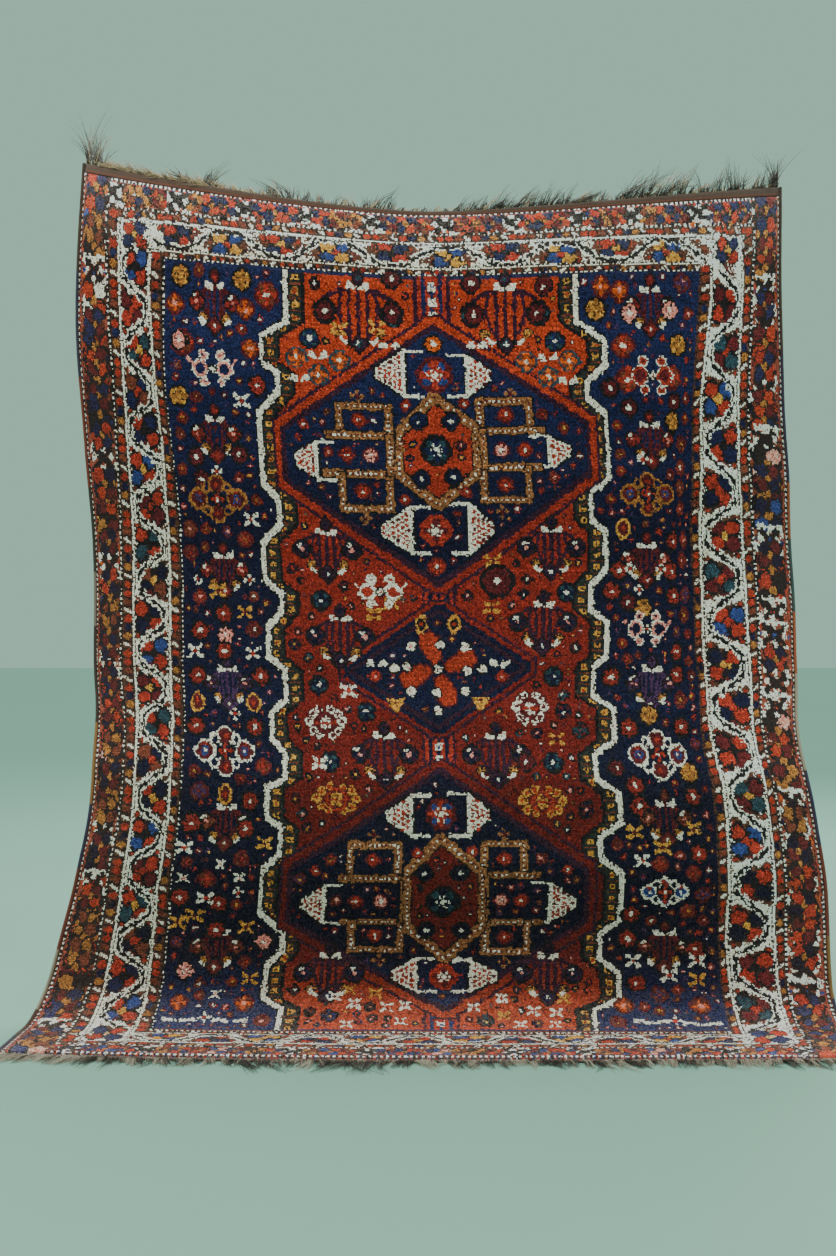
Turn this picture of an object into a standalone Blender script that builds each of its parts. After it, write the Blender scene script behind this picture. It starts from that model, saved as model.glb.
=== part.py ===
"""Shiraz rug, hanging by its top edge with its foot turned forward on the floor. Metres, +Z up.

The origin is the middle of the top edge. The cloth is worked out in a room frame first, with the floor
at z = 0, and every piece is then lowered by the height at which the top edge hangs. Across runs from -1
at the left edge to 1 at the right one, and along runs from 0 at the top edge to 1 at the front edge.
"""

import math

import bmesh
import bpy
import numpy as np
from mathutils import Vector

PILE_THICK = 0.009
BAND_THICK = 0.004
GAP = 0.0003

TOP_EDGE = {"middle": 1.600, "left": 1.765, "right": 1.715}  # height over the floor
FRONT_EDGE = {"middle": -0.193, "left": -0.155, "right": -0.185}  # depth of the edge that lies on the floor
BEND_RADIUS = {"middle": 0.080, "left": 0.100, "right": 0.080}
BOW_POWER = 2.3  # how sharply the sides turn back
SAG_POWER = 1.6  # how the top edge dips between its corners

# How the cloth falls: share of the height, depth of the middle, and how far each side lies behind it.
FALL = [
    {"share": 0.00, "middle": 0.015, "left": 0.060, "right": 0.045},
    {"share": 0.07, "middle": 0.004, "left": 0.080, "right": 0.065},
    {"share": 0.14, "middle": -0.030, "left": 0.110, "right": 0.095},
    {"share": 0.24, "middle": -0.050, "left": 0.145, "right": 0.125},
    {"share": 0.33, "middle": -0.020, "left": 0.180, "right": 0.150},
    {"share": 0.42, "middle": 0.010, "left": 0.195, "right": 0.170},
    {"share": 0.52, "middle": 0.030, "left": 0.200, "right": 0.185},
    {"share": 0.64, "middle": 0.020, "left": 0.200, "right": 0.190},
    {"share": 0.80, "middle": 0.000, "left": 0.185, "right": 0.190},
    {"share": 1.00, "middle": 0.000, "left": 0.190, "right": 0.190},
]

# The woven width, which is uneven: share of the length, width of each half, and where the middle lies.
WEAVE = [
    {"along": 0.00, "left": 0.780, "right": 0.780, "aside": -0.015},
    {"along": 0.10, "left": 0.780, "right": 0.770, "aside": -0.012},
    {"along": 0.20, "left": 0.785, "right": 0.770, "aside": -0.005},
    {"along": 0.30, "left": 0.785, "right": 0.775, "aside": 0.005},
    {"along": 0.40, "left": 0.770, "right": 0.770, "aside": 0.010},
    {"along": 0.50, "left": 0.750, "right": 0.755, "aside": 0.008},
    {"along": 0.58, "left": 0.725, "right": 0.740, "aside": 0.008},
    {"along": 0.66, "left": 0.725, "right": 0.755, "aside": 0.012},
    {"along": 0.74, "left": 0.745, "right": 0.775, "aside": 0.010},
    {"along": 0.82, "left": 0.770, "right": 0.780, "aside": 0.005},
    {"along": 0.90, "left": 0.800, "right": 0.785, "aside": 0.003},
    {"along": 1.00, "left": 0.810, "right": 0.770, "aside": 0.000},
]

BAND_WIDTH = {"left": 0.018, "middle": 0.009, "right": 0.018, "front": 0.010}
PILE_COLUMNS = 26
ROW_RUNS = [  # how closely the rows lie: to this share of the length, in this many rows
    {"to": 0.14, "rows": 5},
    {"to": 0.80, "rows": 23},
    {"to": 0.94, "rows": 14},
    {"to": 1.00, "rows": 2},
]

LOCKS = 92
LOCK_ROOT_SHARE = 0.5  # of the pitch between locks
LOCK_STEPS = [  # share of a lock's length, and its width there as a share of its root
    {"share": 0.30, "width": 0.90},
    {"share": 0.68, "width": 0.62},
    {"share": 1.00, "width": 0.22},
]
FLOOR_LOCK_TIP = 0.0012  # thickness of a floor lock's end

# Length of the top edge's locks, tallest at the corners and in tufts between bare stretches.
TOP_TUFTS = [
    {"across": -1.00, "long": 0.072, "lean": -0.10},
    {"across": -0.93, "long": 0.068, "lean": -0.15},
    {"across": -0.88, "long": 0.026, "lean": -0.40},
    {"across": -0.66, "long": 0.024, "lean": -0.40},
    {"across": -0.58, "long": 0.036, "lean": 0.15},
    {"across": -0.44, "long": 0.014, "lean": 0.30},
    {"across": -0.36, "long": 0.034, "lean": -0.30},
    {"across": -0.24, "long": 0.016, "lean": 0.10},
    {"across": -0.14, "long": 0.032, "lean": 0.35},
    {"across": -0.02, "long": 0.010, "lean": 0.20},
    {"across": 0.10, "long": 0.022, "lean": 0.45},
    {"across": 0.24, "long": 0.040, "lean": 0.40},
    {"across": 0.36, "long": 0.022, "lean": 0.10},
    {"across": 0.50, "long": 0.036, "lean": 0.35},
    {"across": 0.60, "long": 0.052, "lean": 0.45},
    {"across": 0.72, "long": 0.034, "lean": -0.10},
    {"across": 0.84, "long": 0.040, "lean": 0.20},
    {"across": 0.93, "long": 0.024, "lean": 0.35},
    {"across": 1.00, "long": 0.052, "lean": 0.05},
]
FRONT_TUFTS = [
    {"across": -1.00, "long": 0.048, "lean": -0.30},
    {"across": -0.80, "long": 0.042, "lean": -0.15},
    {"across": -0.60, "long": 0.052, "lean": 0.20},
    {"across": -0.40, "long": 0.044, "lean": 0.35},
    {"across": -0.30, "long": 0.058, "lean": 0.25},
    {"across": -0.12, "long": 0.066, "lean": -0.30},
    {"across": 0.02, "long": 0.046, "lean": 0.10},
    {"across": 0.25, "long": 0.042, "lean": -0.20},
    {"across": 0.50, "long": 0.050, "lean": 0.25},
    {"across": 0.75, "long": 0.040, "lean": 0.10},
    {"across": 1.00, "long": 0.046, "lean": 0.30},
]

SELVEDGE = {"half_width": 0.0045, "half_height": 0.0060, "sides": 6}

FINISHES = {
    "rug": {"colour": (0.22, 0.045, 0.03), "roughness": 0.95},
    "top_fringe": {"colour": (0.10, 0.065, 0.045), "roughness": 0.90},
    "bottom_fringe": {"colour": (0.16, 0.11, 0.08), "roughness": 0.90},
    "selvedge_left": {"colour": (0.15, 0.07, 0.03), "roughness": 0.85},
    "selvedge_right": {"colour": (0.05, 0.06, 0.14), "roughness": 0.85},
}

FINE_ACROSS = 161  # the fine grid that the pieces read the cloth's shape from
FINE_ALONG = 601
BEND_STEPS = 60
FLOOR_STEPS = 40
FALL_STEPS = 400


def column(rows, name):
    return np.array([row[name] for row in rows], float)


def smooth(places, values, at):
    """The smooth curve through the values given at the places, read at each point of at."""
    slopes = np.gradient(values, places)
    at = np.asarray(at, float)
    left = np.clip(np.searchsorted(places, at) - 1, 0, len(places) - 2)
    step = places[left + 1] - places[left]
    t = np.clip((at - places[left]) / step, 0, 1)
    return (
        (2 * t**3 - 3 * t**2 + 1) * values[left]
        + (t**3 - 2 * t**2 + t) * step * slopes[left]
        + (3 * t**2 - 2 * t**3) * values[left + 1]
        + (t**3 - t**2) * step * slopes[left + 1]
    )


def fall_line(across):
    """Depths and heights down one warp: hanging, then round the bend and along the floor."""
    side = "left" if across < 0 else "right"
    bow = abs(across) ** BOW_POWER
    sag = abs(across) ** SAG_POWER
    top = TOP_EDGE["middle"] + (TOP_EDGE[side] - TOP_EDGE["middle"]) * sag
    front = FRONT_EDGE["middle"] + (FRONT_EDGE[side] - FRONT_EDGE["middle"]) * bow
    radius = BEND_RADIUS["middle"] + (BEND_RADIUS[side] - BEND_RADIUS["middle"]) * bow
    share = np.linspace(1, 0, FALL_STEPS)
    places = column(FALL, "share")
    depth = smooth(places, column(FALL, "middle"), share) + smooth(places, column(FALL, side), share) * bow
    height = radius + (top - radius) * share
    turn = np.linspace(0, math.pi / 2, BEND_STEPS)[1:]
    bend_depth = depth[-1] - radius * (1 - np.cos(turn))
    bend_height = radius * (1 - np.sin(turn))
    bend_height[-1] = 0
    floor_depth = np.linspace(bend_depth[-1], front, FLOOR_STEPS)[1:]
    floor_height = np.zeros(FLOOR_STEPS - 1)
    return (
        np.concatenate([depth, bend_depth, floor_depth]),
        np.concatenate([height, bend_height, floor_height]),
    )


def cloth_grid():
    """Points of the cloth's back face on a fine grid, as rows down the rug of points across it."""
    across = np.linspace(-1, 1, FINE_ACROSS)
    along = np.linspace(0, 1, FINE_ALONG)
    middle = FINE_ACROSS // 2
    lines = [fall_line(value) for value in across]
    runs = [np.concatenate([[0], np.cumsum(np.hypot(np.diff(y), np.diff(z)))]) for y, z in lines]
    depth = np.zeros((FINE_ALONG, FINE_ACROSS))
    height = np.zeros_like(depth)
    spare_share = 1 - (1 - along) ** 3  # the sides' extra length lies mostly near the top edge
    for index, (y, z) in enumerate(lines):
        spare = runs[index][-1] - runs[middle][-1]
        at = runs[middle][-1] * along + spare * spare_share
        depth[:, index] = np.interp(at, runs[index], y)
        height[:, index] = np.interp(at, runs[index], z)
    places = column(WEAVE, "along")
    step = across[1] - across[0]
    woven = np.zeros((FINE_ALONG, FINE_ACROSS - 1))
    woven[:, :middle] = smooth(places, column(WEAVE, "left"), along)[:, None] * step
    woven[:, middle:] = smooth(places, column(WEAVE, "right"), along)[:, None] * step
    away = np.diff(depth, axis=1) ** 2 + np.diff(height, axis=1) ** 2
    sideways = np.sqrt(np.maximum(woven**2 - away, (0.3 * woven) ** 2))
    x = np.zeros_like(depth)
    x[:, middle + 1 :] = np.cumsum(sideways[:, middle:], axis=1)
    x[:, :middle] = -np.cumsum(sideways[:, :middle][:, ::-1], axis=1)[:, ::-1]
    x += smooth(places, column(WEAVE, "aside"), along)[:, None]
    points = np.stack([x, depth, height], axis=-1)
    return points - points[0, middle] * (1, 1, 0) - (0, 0, TOP_EDGE["middle"])


CLOTH = cloth_grid()
DOWN = np.gradient(CLOTH, axis=0)
SIDE = np.gradient(CLOTH, axis=1)
FACING = np.cross(DOWN, SIDE)
FACING /= np.linalg.norm(FACING, axis=-1, keepdims=True)
WARP_LENGTH = np.linalg.norm(np.diff(CLOTH, axis=0), axis=-1).sum(axis=0)


def read(grid, across, along):
    """The grid's value between its points."""
    i = np.clip(along, 0, 1) * (FINE_ALONG - 1)
    j = np.clip((across + 1) / 2, 0, 1) * (FINE_ACROSS - 1)
    top = min(int(i), FINE_ALONG - 2)
    left = min(int(j), FINE_ACROSS - 2)
    down, right = i - top, j - left
    upper = grid[top, left] * (1 - right) + grid[top, left + 1] * right
    lower = grid[top + 1, left] * (1 - right) + grid[top + 1, left + 1] * right
    return upper * (1 - down) + lower * down


def unit(vector):
    return vector / np.linalg.norm(vector)


def on_cloth(across, along, lift=0.0):
    """A point at this height over the cloth's back face."""
    return read(CLOTH, across, along) + unit(read(FACING, across, along)) * lift


def on_row(across, row, lift=0.0):
    """A point of a row, which runs straight from each of the pile's columns to the next.

    The pieces that meet share those columns, so the gap between them stays even."""
    place = (across + 1) / 2 * PILE_COLUMNS
    left = min(int(place), PILE_COLUMNS - 1)
    near, far = (-1 + 2 * index / PILE_COLUMNS for index in (left, left + 1))
    share = place - left
    return on_cloth(near, row(near), lift) * (1 - share) + on_cloth(far, row(far), lift) * share


def share_of_length(metres, across):
    return metres / np.interp(across, np.linspace(-1, 1, FINE_ACROSS), WARP_LENGTH)


def top_band_width(across):
    side = "left" if across < 0 else "right"
    return BAND_WIDTH["middle"] + (BAND_WIDTH[side] - BAND_WIDTH["middle"]) * abs(across)


def new_object(name, bm):
    bmesh.ops.recalc_face_normals(bm, faces=bm.faces)
    mesh = bpy.data.meshes.new(name)
    bm.to_mesh(mesh)
    bm.free()
    obj = bpy.data.objects.new(name, mesh)
    bpy.context.scene.collection.objects.link(obj)
    material = bpy.data.materials.new(name)
    material.use_nodes = True
    shader = material.node_tree.nodes["Principled BSDF"]
    shader.inputs["Base Color"].default_value = (*FINISHES[name]["colour"], 1)
    shader.inputs["Roughness"].default_value = FINISHES[name]["roughness"]
    mesh.materials.append(material)
    return obj


def sheet(across_places, along_rows, thick):
    """A closed sheet over the crossings of the columns and the rows, each row a function of across.

    It comes with the faces of its first and last edges, from left to right."""
    columns, rows = len(across_places) - 1, len(along_rows) - 1
    bm = bmesh.new()
    bmesh.ops.create_grid(bm, x_segments=columns, y_segments=rows, size=1)
    lower = set(bm.verts)
    bmesh.ops.extrude_face_region(bm, geom=bm.faces[:], use_keep_orig=True)
    across_middle = {face: face.calc_center_median().x for face in bm.faces}
    edges = [
        sorted(
            [face for face in bm.faces if all(abs(vert.co.y - level) < 1e-5 for vert in face.verts)],
            key=across_middle.get,
        )
        for level in (1, -1)
    ]
    for vert in bm.verts:
        across = across_places[round((vert.co.x + 1) / 2 * columns)]
        row = along_rows[round((1 - vert.co.y) / 2 * rows)]
        vert.co = on_row(across, row, 0 if vert in lower else thick)
    return bm, edges


def pile_start(across):
    return share_of_length(top_band_width(across) + GAP, across)


def pile_end(across):
    return 1 - share_of_length(BAND_WIDTH["front"] + GAP, across)


def pile_rows():
    """The pile's rows, as functions that give how far along each lies."""
    shares = [0.0]
    for run in ROW_RUNS:
        shares.extend(np.linspace(shares[-1], run["to"], run["rows"] + 1)[1:])

    def row(share):
        return lambda across: pile_start(across) + (pile_end(across) - pile_start(across)) * share

    return [row(share) for share in shares]


def make_rug():
    bm, _ = sheet(np.linspace(-1, 1, PILE_COLUMNS + 1), pile_rows(), PILE_THICK)
    new_object("rug", bm)


def lock_columns():
    """Places across a band: both sides of each lock's root, and the band's two ends."""
    pitch = 2 / LOCKS
    bare = pitch * (1 - LOCK_ROOT_SHARE) / 2
    places = [-1.0]
    for index in range(LOCKS):
        left = -1 + index * pitch
        places += [left + bare, left + pitch - bare]
    return places + [1.0]


def grow_lock(bm, root, outward, length, lean, rests):
    """Draws a root face out into a tapering lock, which leans sideways more towards its tip."""
    start = root.calc_center_median().copy()
    base = min(vert.co.z for vert in root.verts)
    width_before = 1.0
    for step in LOCK_STEPS:
        turn = lean * step["share"] ** 0.5
        reach = outward * math.cos(turn) + Vector((math.sin(turn), 0, 0))
        centre = start + reach * length * step["share"]
        root = bmesh.ops.extrude_discrete_faces(bm, faces=[root])["faces"][0]
        old = root.calc_center_median().copy()
        thick = FLOOR_LOCK_TIP + (BAND_THICK - FLOOR_LOCK_TIP) * (1 - step["share"])
        for vert in root.verts:
            above = vert.co.z > old.z
            vert.co = centre + (vert.co - old) * step["width"] / width_before
            if rests:
                vert.co.z = base + (thick if above else 0)
        width_before = step["width"]


def make_fringe(name, rows, edge, tufts, rests):
    """A flat-woven band between two rows, with a lock drawn from every other face of its outer edge."""
    bm, edges = sheet(lock_columns(), rows, BAND_THICK)
    places = column(tufts, "across")
    for index, root in enumerate(edges[edge][1::2]):
        across = -1 + (index + 0.5) * 2 / LOCKS
        uneven = 1 + 0.30 * math.sin(index * 2.4) + 0.12 * math.sin(index * 5.1)
        length = float(smooth(places, column(tufts, "long"), across)) * uneven
        lean = float(smooth(places, column(tufts, "lean"), across)) + 0.05 * math.sin(index * 3.3)
        outward = Vector(unit(read(DOWN, across, edge))) * (1 if edge else -1)
        if not rests:
            outward += Vector((0, 0.22 * math.sin(index * 1.7), 0))
        grow_lock(bm, root, outward, length, lean, rests)
    new_object(name, bm)


def make_top_fringe():
    rows = [lambda across: 0, lambda across: share_of_length(top_band_width(across), across)]
    make_fringe("top_fringe", rows, 0, TOP_TUFTS, False)


def make_bottom_fringe():
    rows = [lambda across: 1 - share_of_length(BAND_WIDTH["front"], across), lambda across: 1]
    make_fringe("bottom_fringe", rows, 1, FRONT_TUFTS, True)


def make_selvedge(name, across):
    """An overcast cord down one side: a straight prism first, then each ring put on the cloth's edge."""
    places = [0.0] + [row(across) for row in pile_rows()] + [1.0]
    bm = bmesh.new()
    bmesh.ops.create_circle(bm, cap_ends=True, segments=SELVEDGE["sides"], radius=1)
    cap = bm.faces[:]
    for index in range(1, len(places)):
        drawn = bmesh.ops.extrude_face_region(bm, geom=cap, use_keep_orig=True)["geom"]
        if index > 1:
            bmesh.ops.delete(bm, geom=cap, context="FACES_ONLY")
        cap = [item for item in drawn if isinstance(item, bmesh.types.BMFace)]
        raised = [item for item in drawn if isinstance(item, bmesh.types.BMVert)]
        bmesh.ops.translate(bm, vec=(0, 0, 1), verts=raised)
    lowest = SELVEDGE["half_height"] * math.cos(math.pi / SELVEDGE["sides"])
    for vert in bm.verts:
        along = places[round(vert.co.z)]
        facing = unit(read(FACING, across, along))
        outward = across * unit(np.cross(facing, read(DOWN, across, along)))
        centre = on_cloth(across, along, lowest) + outward * (GAP + SELVEDGE["half_width"])
        wide = outward * vert.co.y * SELVEDGE["half_width"]
        vert.co = centre + wide + facing * vert.co.x * SELVEDGE["half_height"]
    new_object(name, bm)


for old in list(bpy.data.objects):
    bpy.data.objects.remove(old, do_unlink=True)

make_rug()
make_top_fringe()
make_bottom_fringe()
make_selvedge("selvedge_left", -1)
make_selvedge("selvedge_right", 1)
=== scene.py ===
import math

import bmesh
import bpy
import numpy as np
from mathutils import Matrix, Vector


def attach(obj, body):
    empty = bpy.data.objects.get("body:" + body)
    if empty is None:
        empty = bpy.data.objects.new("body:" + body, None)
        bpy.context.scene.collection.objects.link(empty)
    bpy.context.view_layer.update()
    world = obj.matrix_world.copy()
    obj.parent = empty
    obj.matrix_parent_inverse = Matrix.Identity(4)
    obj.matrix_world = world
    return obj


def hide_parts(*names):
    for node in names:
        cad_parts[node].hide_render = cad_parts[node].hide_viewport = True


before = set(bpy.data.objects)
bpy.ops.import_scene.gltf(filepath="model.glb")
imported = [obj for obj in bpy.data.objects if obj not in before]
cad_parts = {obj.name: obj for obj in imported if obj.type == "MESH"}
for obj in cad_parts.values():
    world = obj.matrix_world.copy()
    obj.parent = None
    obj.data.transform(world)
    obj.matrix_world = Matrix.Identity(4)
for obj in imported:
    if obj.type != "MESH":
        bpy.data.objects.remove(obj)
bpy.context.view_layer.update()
print("frame loaded")


def putInScene(name, data):
    thing = bpy.data.objects.new(name, data)
    bpy.context.scene.collection.objects.link(thing)
    return thing


# the camera, at the photograph's height and distance, looking level
cameraData = bpy.data.cameras.new("camera")
cameraData.lens = 35.83
camera = putInScene("camera", cameraData)
camera.location = (-0.024, -2.449, -0.815)
camera.rotation_euler = (math.radians(90), 0, 0)
bpy.context.scene.camera = camera

# how the cloth hangs
floorHeight = -1.600

cloth = {
    "topEdge": {"middle": 1.600, "left": 1.765, "right": 1.715},  # height over the floor
    "frontEdge": {"middle": -0.193, "left": -0.155, "right": -0.185},  # depth where it ends on the floor
    "bendRadius": {"middle": 0.080, "left": 0.100, "right": 0.080},
    "bowPower": 2.3,
    "sagPower": 1.6,
    "pileThick": 0.009,
    "bandThick": 0.004,
    "gap": 0.0003,
    "bandWidth": {"middle": 0.009, "left": 0.018, "right": 0.018, "front": 0.010},
}

# share of the height, depth of the middle, and how far the left and right sides lie behind it
clothFall = [
    (0.00, 0.015, 0.060, 0.045),
    (0.07, 0.004, 0.080, 0.065),
    (0.14, -0.030, 0.110, 0.095),
    (0.24, -0.050, 0.145, 0.125),
    (0.33, -0.020, 0.180, 0.150),
    (0.42, 0.010, 0.195, 0.170),
    (0.52, 0.030, 0.200, 0.185),
    (0.64, 0.020, 0.200, 0.190),
    (0.80, 0.000, 0.185, 0.190),
    (1.00, 0.000, 0.190, 0.190),
]

# share of the length, woven width of the left and right halves, and where the middle lies
clothWidth = [
    (0.00, 0.780, 0.780, -0.015),
    (0.10, 0.780, 0.770, -0.012),
    (0.20, 0.785, 0.770, -0.005),
    (0.30, 0.785, 0.775, 0.005),
    (0.40, 0.770, 0.770, 0.010),
    (0.50, 0.750, 0.755, 0.008),
    (0.58, 0.725, 0.740, 0.008),
    (0.66, 0.725, 0.755, 0.012),
    (0.74, 0.745, 0.775, 0.010),
    (0.82, 0.770, 0.780, 0.005),
    (0.90, 0.800, 0.785, 0.003),
    (1.00, 0.810, 0.770, 0.000),
]
fineAcross, fineAlong = 161, 601  # points of the grid that the cloth is worked out on
fallSteps, bendSteps, floorSteps = 400, 60, 40


def smooth(places, values, at):
    slopes = np.gradient(values, places)
    at = np.asarray(at, float)
    left = np.clip(np.searchsorted(places, at) - 1, 0, len(places) - 2)
    step = places[left + 1] - places[left]
    t = np.clip((at - places[left]) / step, 0, 1)
    return (
        (2 * t**3 - 3 * t**2 + 1) * values[left]
        + (t**3 - 2 * t**2 + t) * step * slopes[left]
        + (3 * t**2 - 2 * t**3) * values[left + 1]
        + (t**3 - t**2) * step * slopes[left + 1]
    )


def towardsSide(sizes, across, share):
    side = "left" if across < 0 else "right"
    return sizes["middle"] + (sizes[side] - sizes["middle"]) * share


def fallLine(across):
    # depth and height down one warp: hanging, round the bend, then along the floor
    bow = abs(across) ** cloth["bowPower"]
    top = towardsSide(cloth["topEdge"], across, abs(across) ** cloth["sagPower"])
    front = towardsSide(cloth["frontEdge"], across, bow)
    radius = towardsSide(cloth["bendRadius"], across, bow)
    fall = np.array(clothFall)
    share = np.linspace(1, 0, fallSteps)
    behind = smooth(fall[:, 0], fall[:, 2 if across < 0 else 3], share)
    depth = smooth(fall[:, 0], fall[:, 1], share) + behind * bow
    height = radius + (top - radius) * share
    turn = np.linspace(0, math.pi / 2, bendSteps)[1:]
    bendDepth = depth[-1] - radius * (1 - np.cos(turn))
    bendHeight = radius * (1 - np.sin(turn))
    floorDepth = np.linspace(bendDepth[-1], front, floorSteps)[1:]
    floorHeights = np.zeros(floorSteps - 1)
    return np.concatenate([depth, bendDepth, floorDepth]), np.concatenate([height, bendHeight, floorHeights])


def clothGrid():
    # the back face of the cloth, as rows down the rug of points across it
    across = np.linspace(-1, 1, fineAcross)
    along = np.linspace(0, 1, fineAlong)
    middle = fineAcross // 2
    lines = [fallLine(value) for value in across]
    runs = [np.concatenate([[0], np.cumsum(np.hypot(np.diff(y), np.diff(z)))]) for y, z in lines]
    depth = np.zeros((fineAlong, fineAcross))
    height = np.zeros_like(depth)
    for index, (y, z) in enumerate(lines):
        at = runs[middle][-1] * along + (runs[index][-1] - runs[middle][-1]) * (1 - (1 - along) ** 3)
        depth[:, index] = np.interp(at, runs[index], y)
        height[:, index] = np.interp(at, runs[index], z)
    width = np.array(clothWidth)
    step = across[1] - across[0]
    woven = np.zeros((fineAlong, fineAcross - 1))
    woven[:, :middle] = smooth(width[:, 0], width[:, 1], along)[:, None] * step
    woven[:, middle:] = smooth(width[:, 0], width[:, 2], along)[:, None] * step
    away = np.diff(depth, axis=1) ** 2 + np.diff(height, axis=1) ** 2
    sideways = np.sqrt(np.maximum(woven**2 - away, (0.3 * woven) ** 2))
    x = np.zeros_like(depth)
    x[:, middle + 1 :] = np.cumsum(sideways[:, middle:], axis=1)
    x[:, :middle] = -np.cumsum(sideways[:, :middle][:, ::-1], axis=1)[:, ::-1]
    x += smooth(width[:, 0], width[:, 3], along)[:, None]
    points = np.stack([x, depth, height], axis=-1)
    return points - points[0, middle] * (1, 1, 0) - (0, 0, cloth["topEdge"]["middle"])


clothPoints = clothGrid()
clothDown = np.gradient(clothPoints, axis=0)
clothSide = np.gradient(clothPoints, axis=1)
clothFacing = np.cross(clothDown, clothSide)
warpLength = np.linalg.norm(np.diff(clothPoints, axis=0), axis=-1).sum(axis=0)


def unit(vectors):
    return vectors / np.linalg.norm(vectors, axis=-1, keepdims=True)


def readGrid(grid, across, along):
    i = np.clip(along, 0, 1) * (fineAlong - 1)
    j = np.clip((np.asarray(across) + 1) / 2, 0, 1) * (fineAcross - 1)
    top = np.minimum(i.astype(int), fineAlong - 2)
    left = np.minimum(j.astype(int), fineAcross - 2)
    down, right = (i - top)[..., None], (j - left)[..., None]
    upper = grid[top, left] * (1 - right) + grid[top, left + 1] * right
    lower = grid[top + 1, left] * (1 - right) + grid[top + 1, left + 1] * right
    return upper * (1 - down) + lower * down


def heading(grid, across, along):
    return unit(readGrid(grid, across, along))


def onCloth(across, along, lift):
    across, along = np.broadcast_arrays(np.asarray(across, float), np.asarray(along, float))
    facing = heading(clothFacing, across, along)
    return readGrid(clothPoints, across, along) + facing * np.asarray(lift)[..., None]


def shareOfLength(metres, across):
    return metres / np.interp(across, np.linspace(-1, 1, fineAcross), warpLength)


def topBandWidth(across):
    widths = cloth["bandWidth"]
    side = np.where(across < 0, widths["left"], widths["right"])
    return widths["middle"] + (side - widths["middle"]) * np.abs(across)


def pileStart(across):
    return shareOfLength(topBandWidth(across) + cloth["gap"], across)


def pileEnd(across):
    return 1 - shareOfLength(cloth["bandWidth"]["front"] + cloth["gap"], across)


print("cloth shaped")

# the design, drawn knot by knot on 400 units across by 480 down
designWide, designTall = 400, 480
perUnit = 1.5  # knots in a unit
knotCols, knotRows = 600, 720

yarns = {  # the dyed wools, as linear colours
    "brown": (0.085, 0.033, 0.021),
    "madderBrown": (0.230, 0.050, 0.030),
    "brick": (0.235, 0.023, 0.017),
    "ground": (0.380, 0.036, 0.018),
    "madder": (0.330, 0.030, 0.017),
    "orange": (0.560, 0.085, 0.014),
    "wine": (0.095, 0.012, 0.015),
    "rust": (0.150, 0.036, 0.020),
    "navy": (0.010, 0.012, 0.046),
    "blue": (0.022, 0.045, 0.170),
    "teal": (0.018, 0.048, 0.066),
    "black": (0.011, 0.010, 0.012),
    "ivory": (0.800, 0.730, 0.600),
    "ochre": (0.560, 0.250, 0.045),
    "gold": (0.330, 0.125, 0.030),
    "camel": (0.270, 0.105, 0.040),
    "green": (0.020, 0.024, 0.022),
    "plum": (0.034, 0.010, 0.024),
    "scarlet": (0.360, 0.036, 0.015),
    "aubergine": (0.060, 0.024, 0.075),
    "rose": (0.820, 0.260, 0.210),
}
yarnNumber = {name: number for number, name in enumerate(yarns)}
chart = np.zeros((knotRows, knotCols), np.uint8)


def middles(count):
    # where the middles of this many knots lie, in units
    return (np.arange(count) + 0.5) / perUnit


def window(left, top, right, foot):
    # the part of the chart inside these limits, with the middles of its knots
    left, top, right, foot = (max(int(value * perUnit), 0) for value in (left, top, right, foot))
    part = chart[top : foot + 2, left : right + 2]
    rows, cols = np.mgrid[0 : part.shape[0], 0 : part.shape[1]] + 0.5
    return part, (cols + left) / perUnit, (rows + top) / perUnit


def fill(left, top, right, foot, yarn):
    left, top, right, foot = (max(round(value * perUnit), 0) for value in (left, top, right, foot))
    chart[top:foot, left:right] = yarnNumber[yarn]


def spot(col, row, radius, yarn, tall=1.0):
    part, x, y = window(col - radius - 1, row - radius * tall - 1, col + radius, row + radius * tall)
    dx, dy = abs(x - col), abs(y - row) / tall
    part[np.maximum(np.maximum(dx, dy), (dx + dy) * 0.74) <= radius] = yarnNumber[yarn]


def spots(col, row, rings, tall=1.0):
    # spots round one middle, the later ones on top
    for radius, yarn in rings:
        spot(col, row, radius, yarn, tall)


def shape(points, yarn):
    xs, ys = [p[0] for p in points], [p[1] for p in points]
    part, x, y = window(min(xs) - 1, min(ys) - 1, max(xs) + 1, max(ys) + 1)
    inside = np.zeros(part.shape, bool)
    for (x0, y0), (x1, y1) in zip(points, points[1:] + points[:1]):
        if y0 != y1:
            inside ^= ((y0 > y) != (y1 > y)) & (x < (x1 - x0) * (y - y0) / (y1 - y0) + x0)
    part[inside] = yarnNumber[yarn]


def line(points, width, yarn, loop=False):
    for (x0, y0), (x1, y1) in zip(points, points[1:] + (points[:1] if loop else [])):
        reach = width / 2 + 1
        (left, right), (top, foot) = sorted((x0, x1)), sorted((y0, y1))
        part, x, y = window(left - reach, top - reach, right + reach, foot + reach)
        dx, dy = x1 - x0, y1 - y0
        t = np.clip(((x - x0) * dx + (y - y0) * dy) / max(dx * dx + dy * dy, 1e-9), 0, 1)
        part[np.maximum(abs(x - x0 - t * dx), abs(y - y0 - t * dy)) <= width / 2] = yarnNumber[yarn]


def evenly(points, spacing, loop):
    # places at an even spacing along a line
    for (x0, y0), (x1, y1) in zip(points, points[1:] + (points[:1] if loop else [])):
        count = max(round(max(abs(x1 - x0), abs(y1 - y0)) / spacing), 1)
        for index in range(count):
            share = (index + 0.5) / count
            yield x0 + (x1 - x0) * share, y0 + (y1 - y0) * share


def around(col, row, reach, turn):
    return col + math.cos(turn) * reach, row + math.sin(turn) * reach


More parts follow.
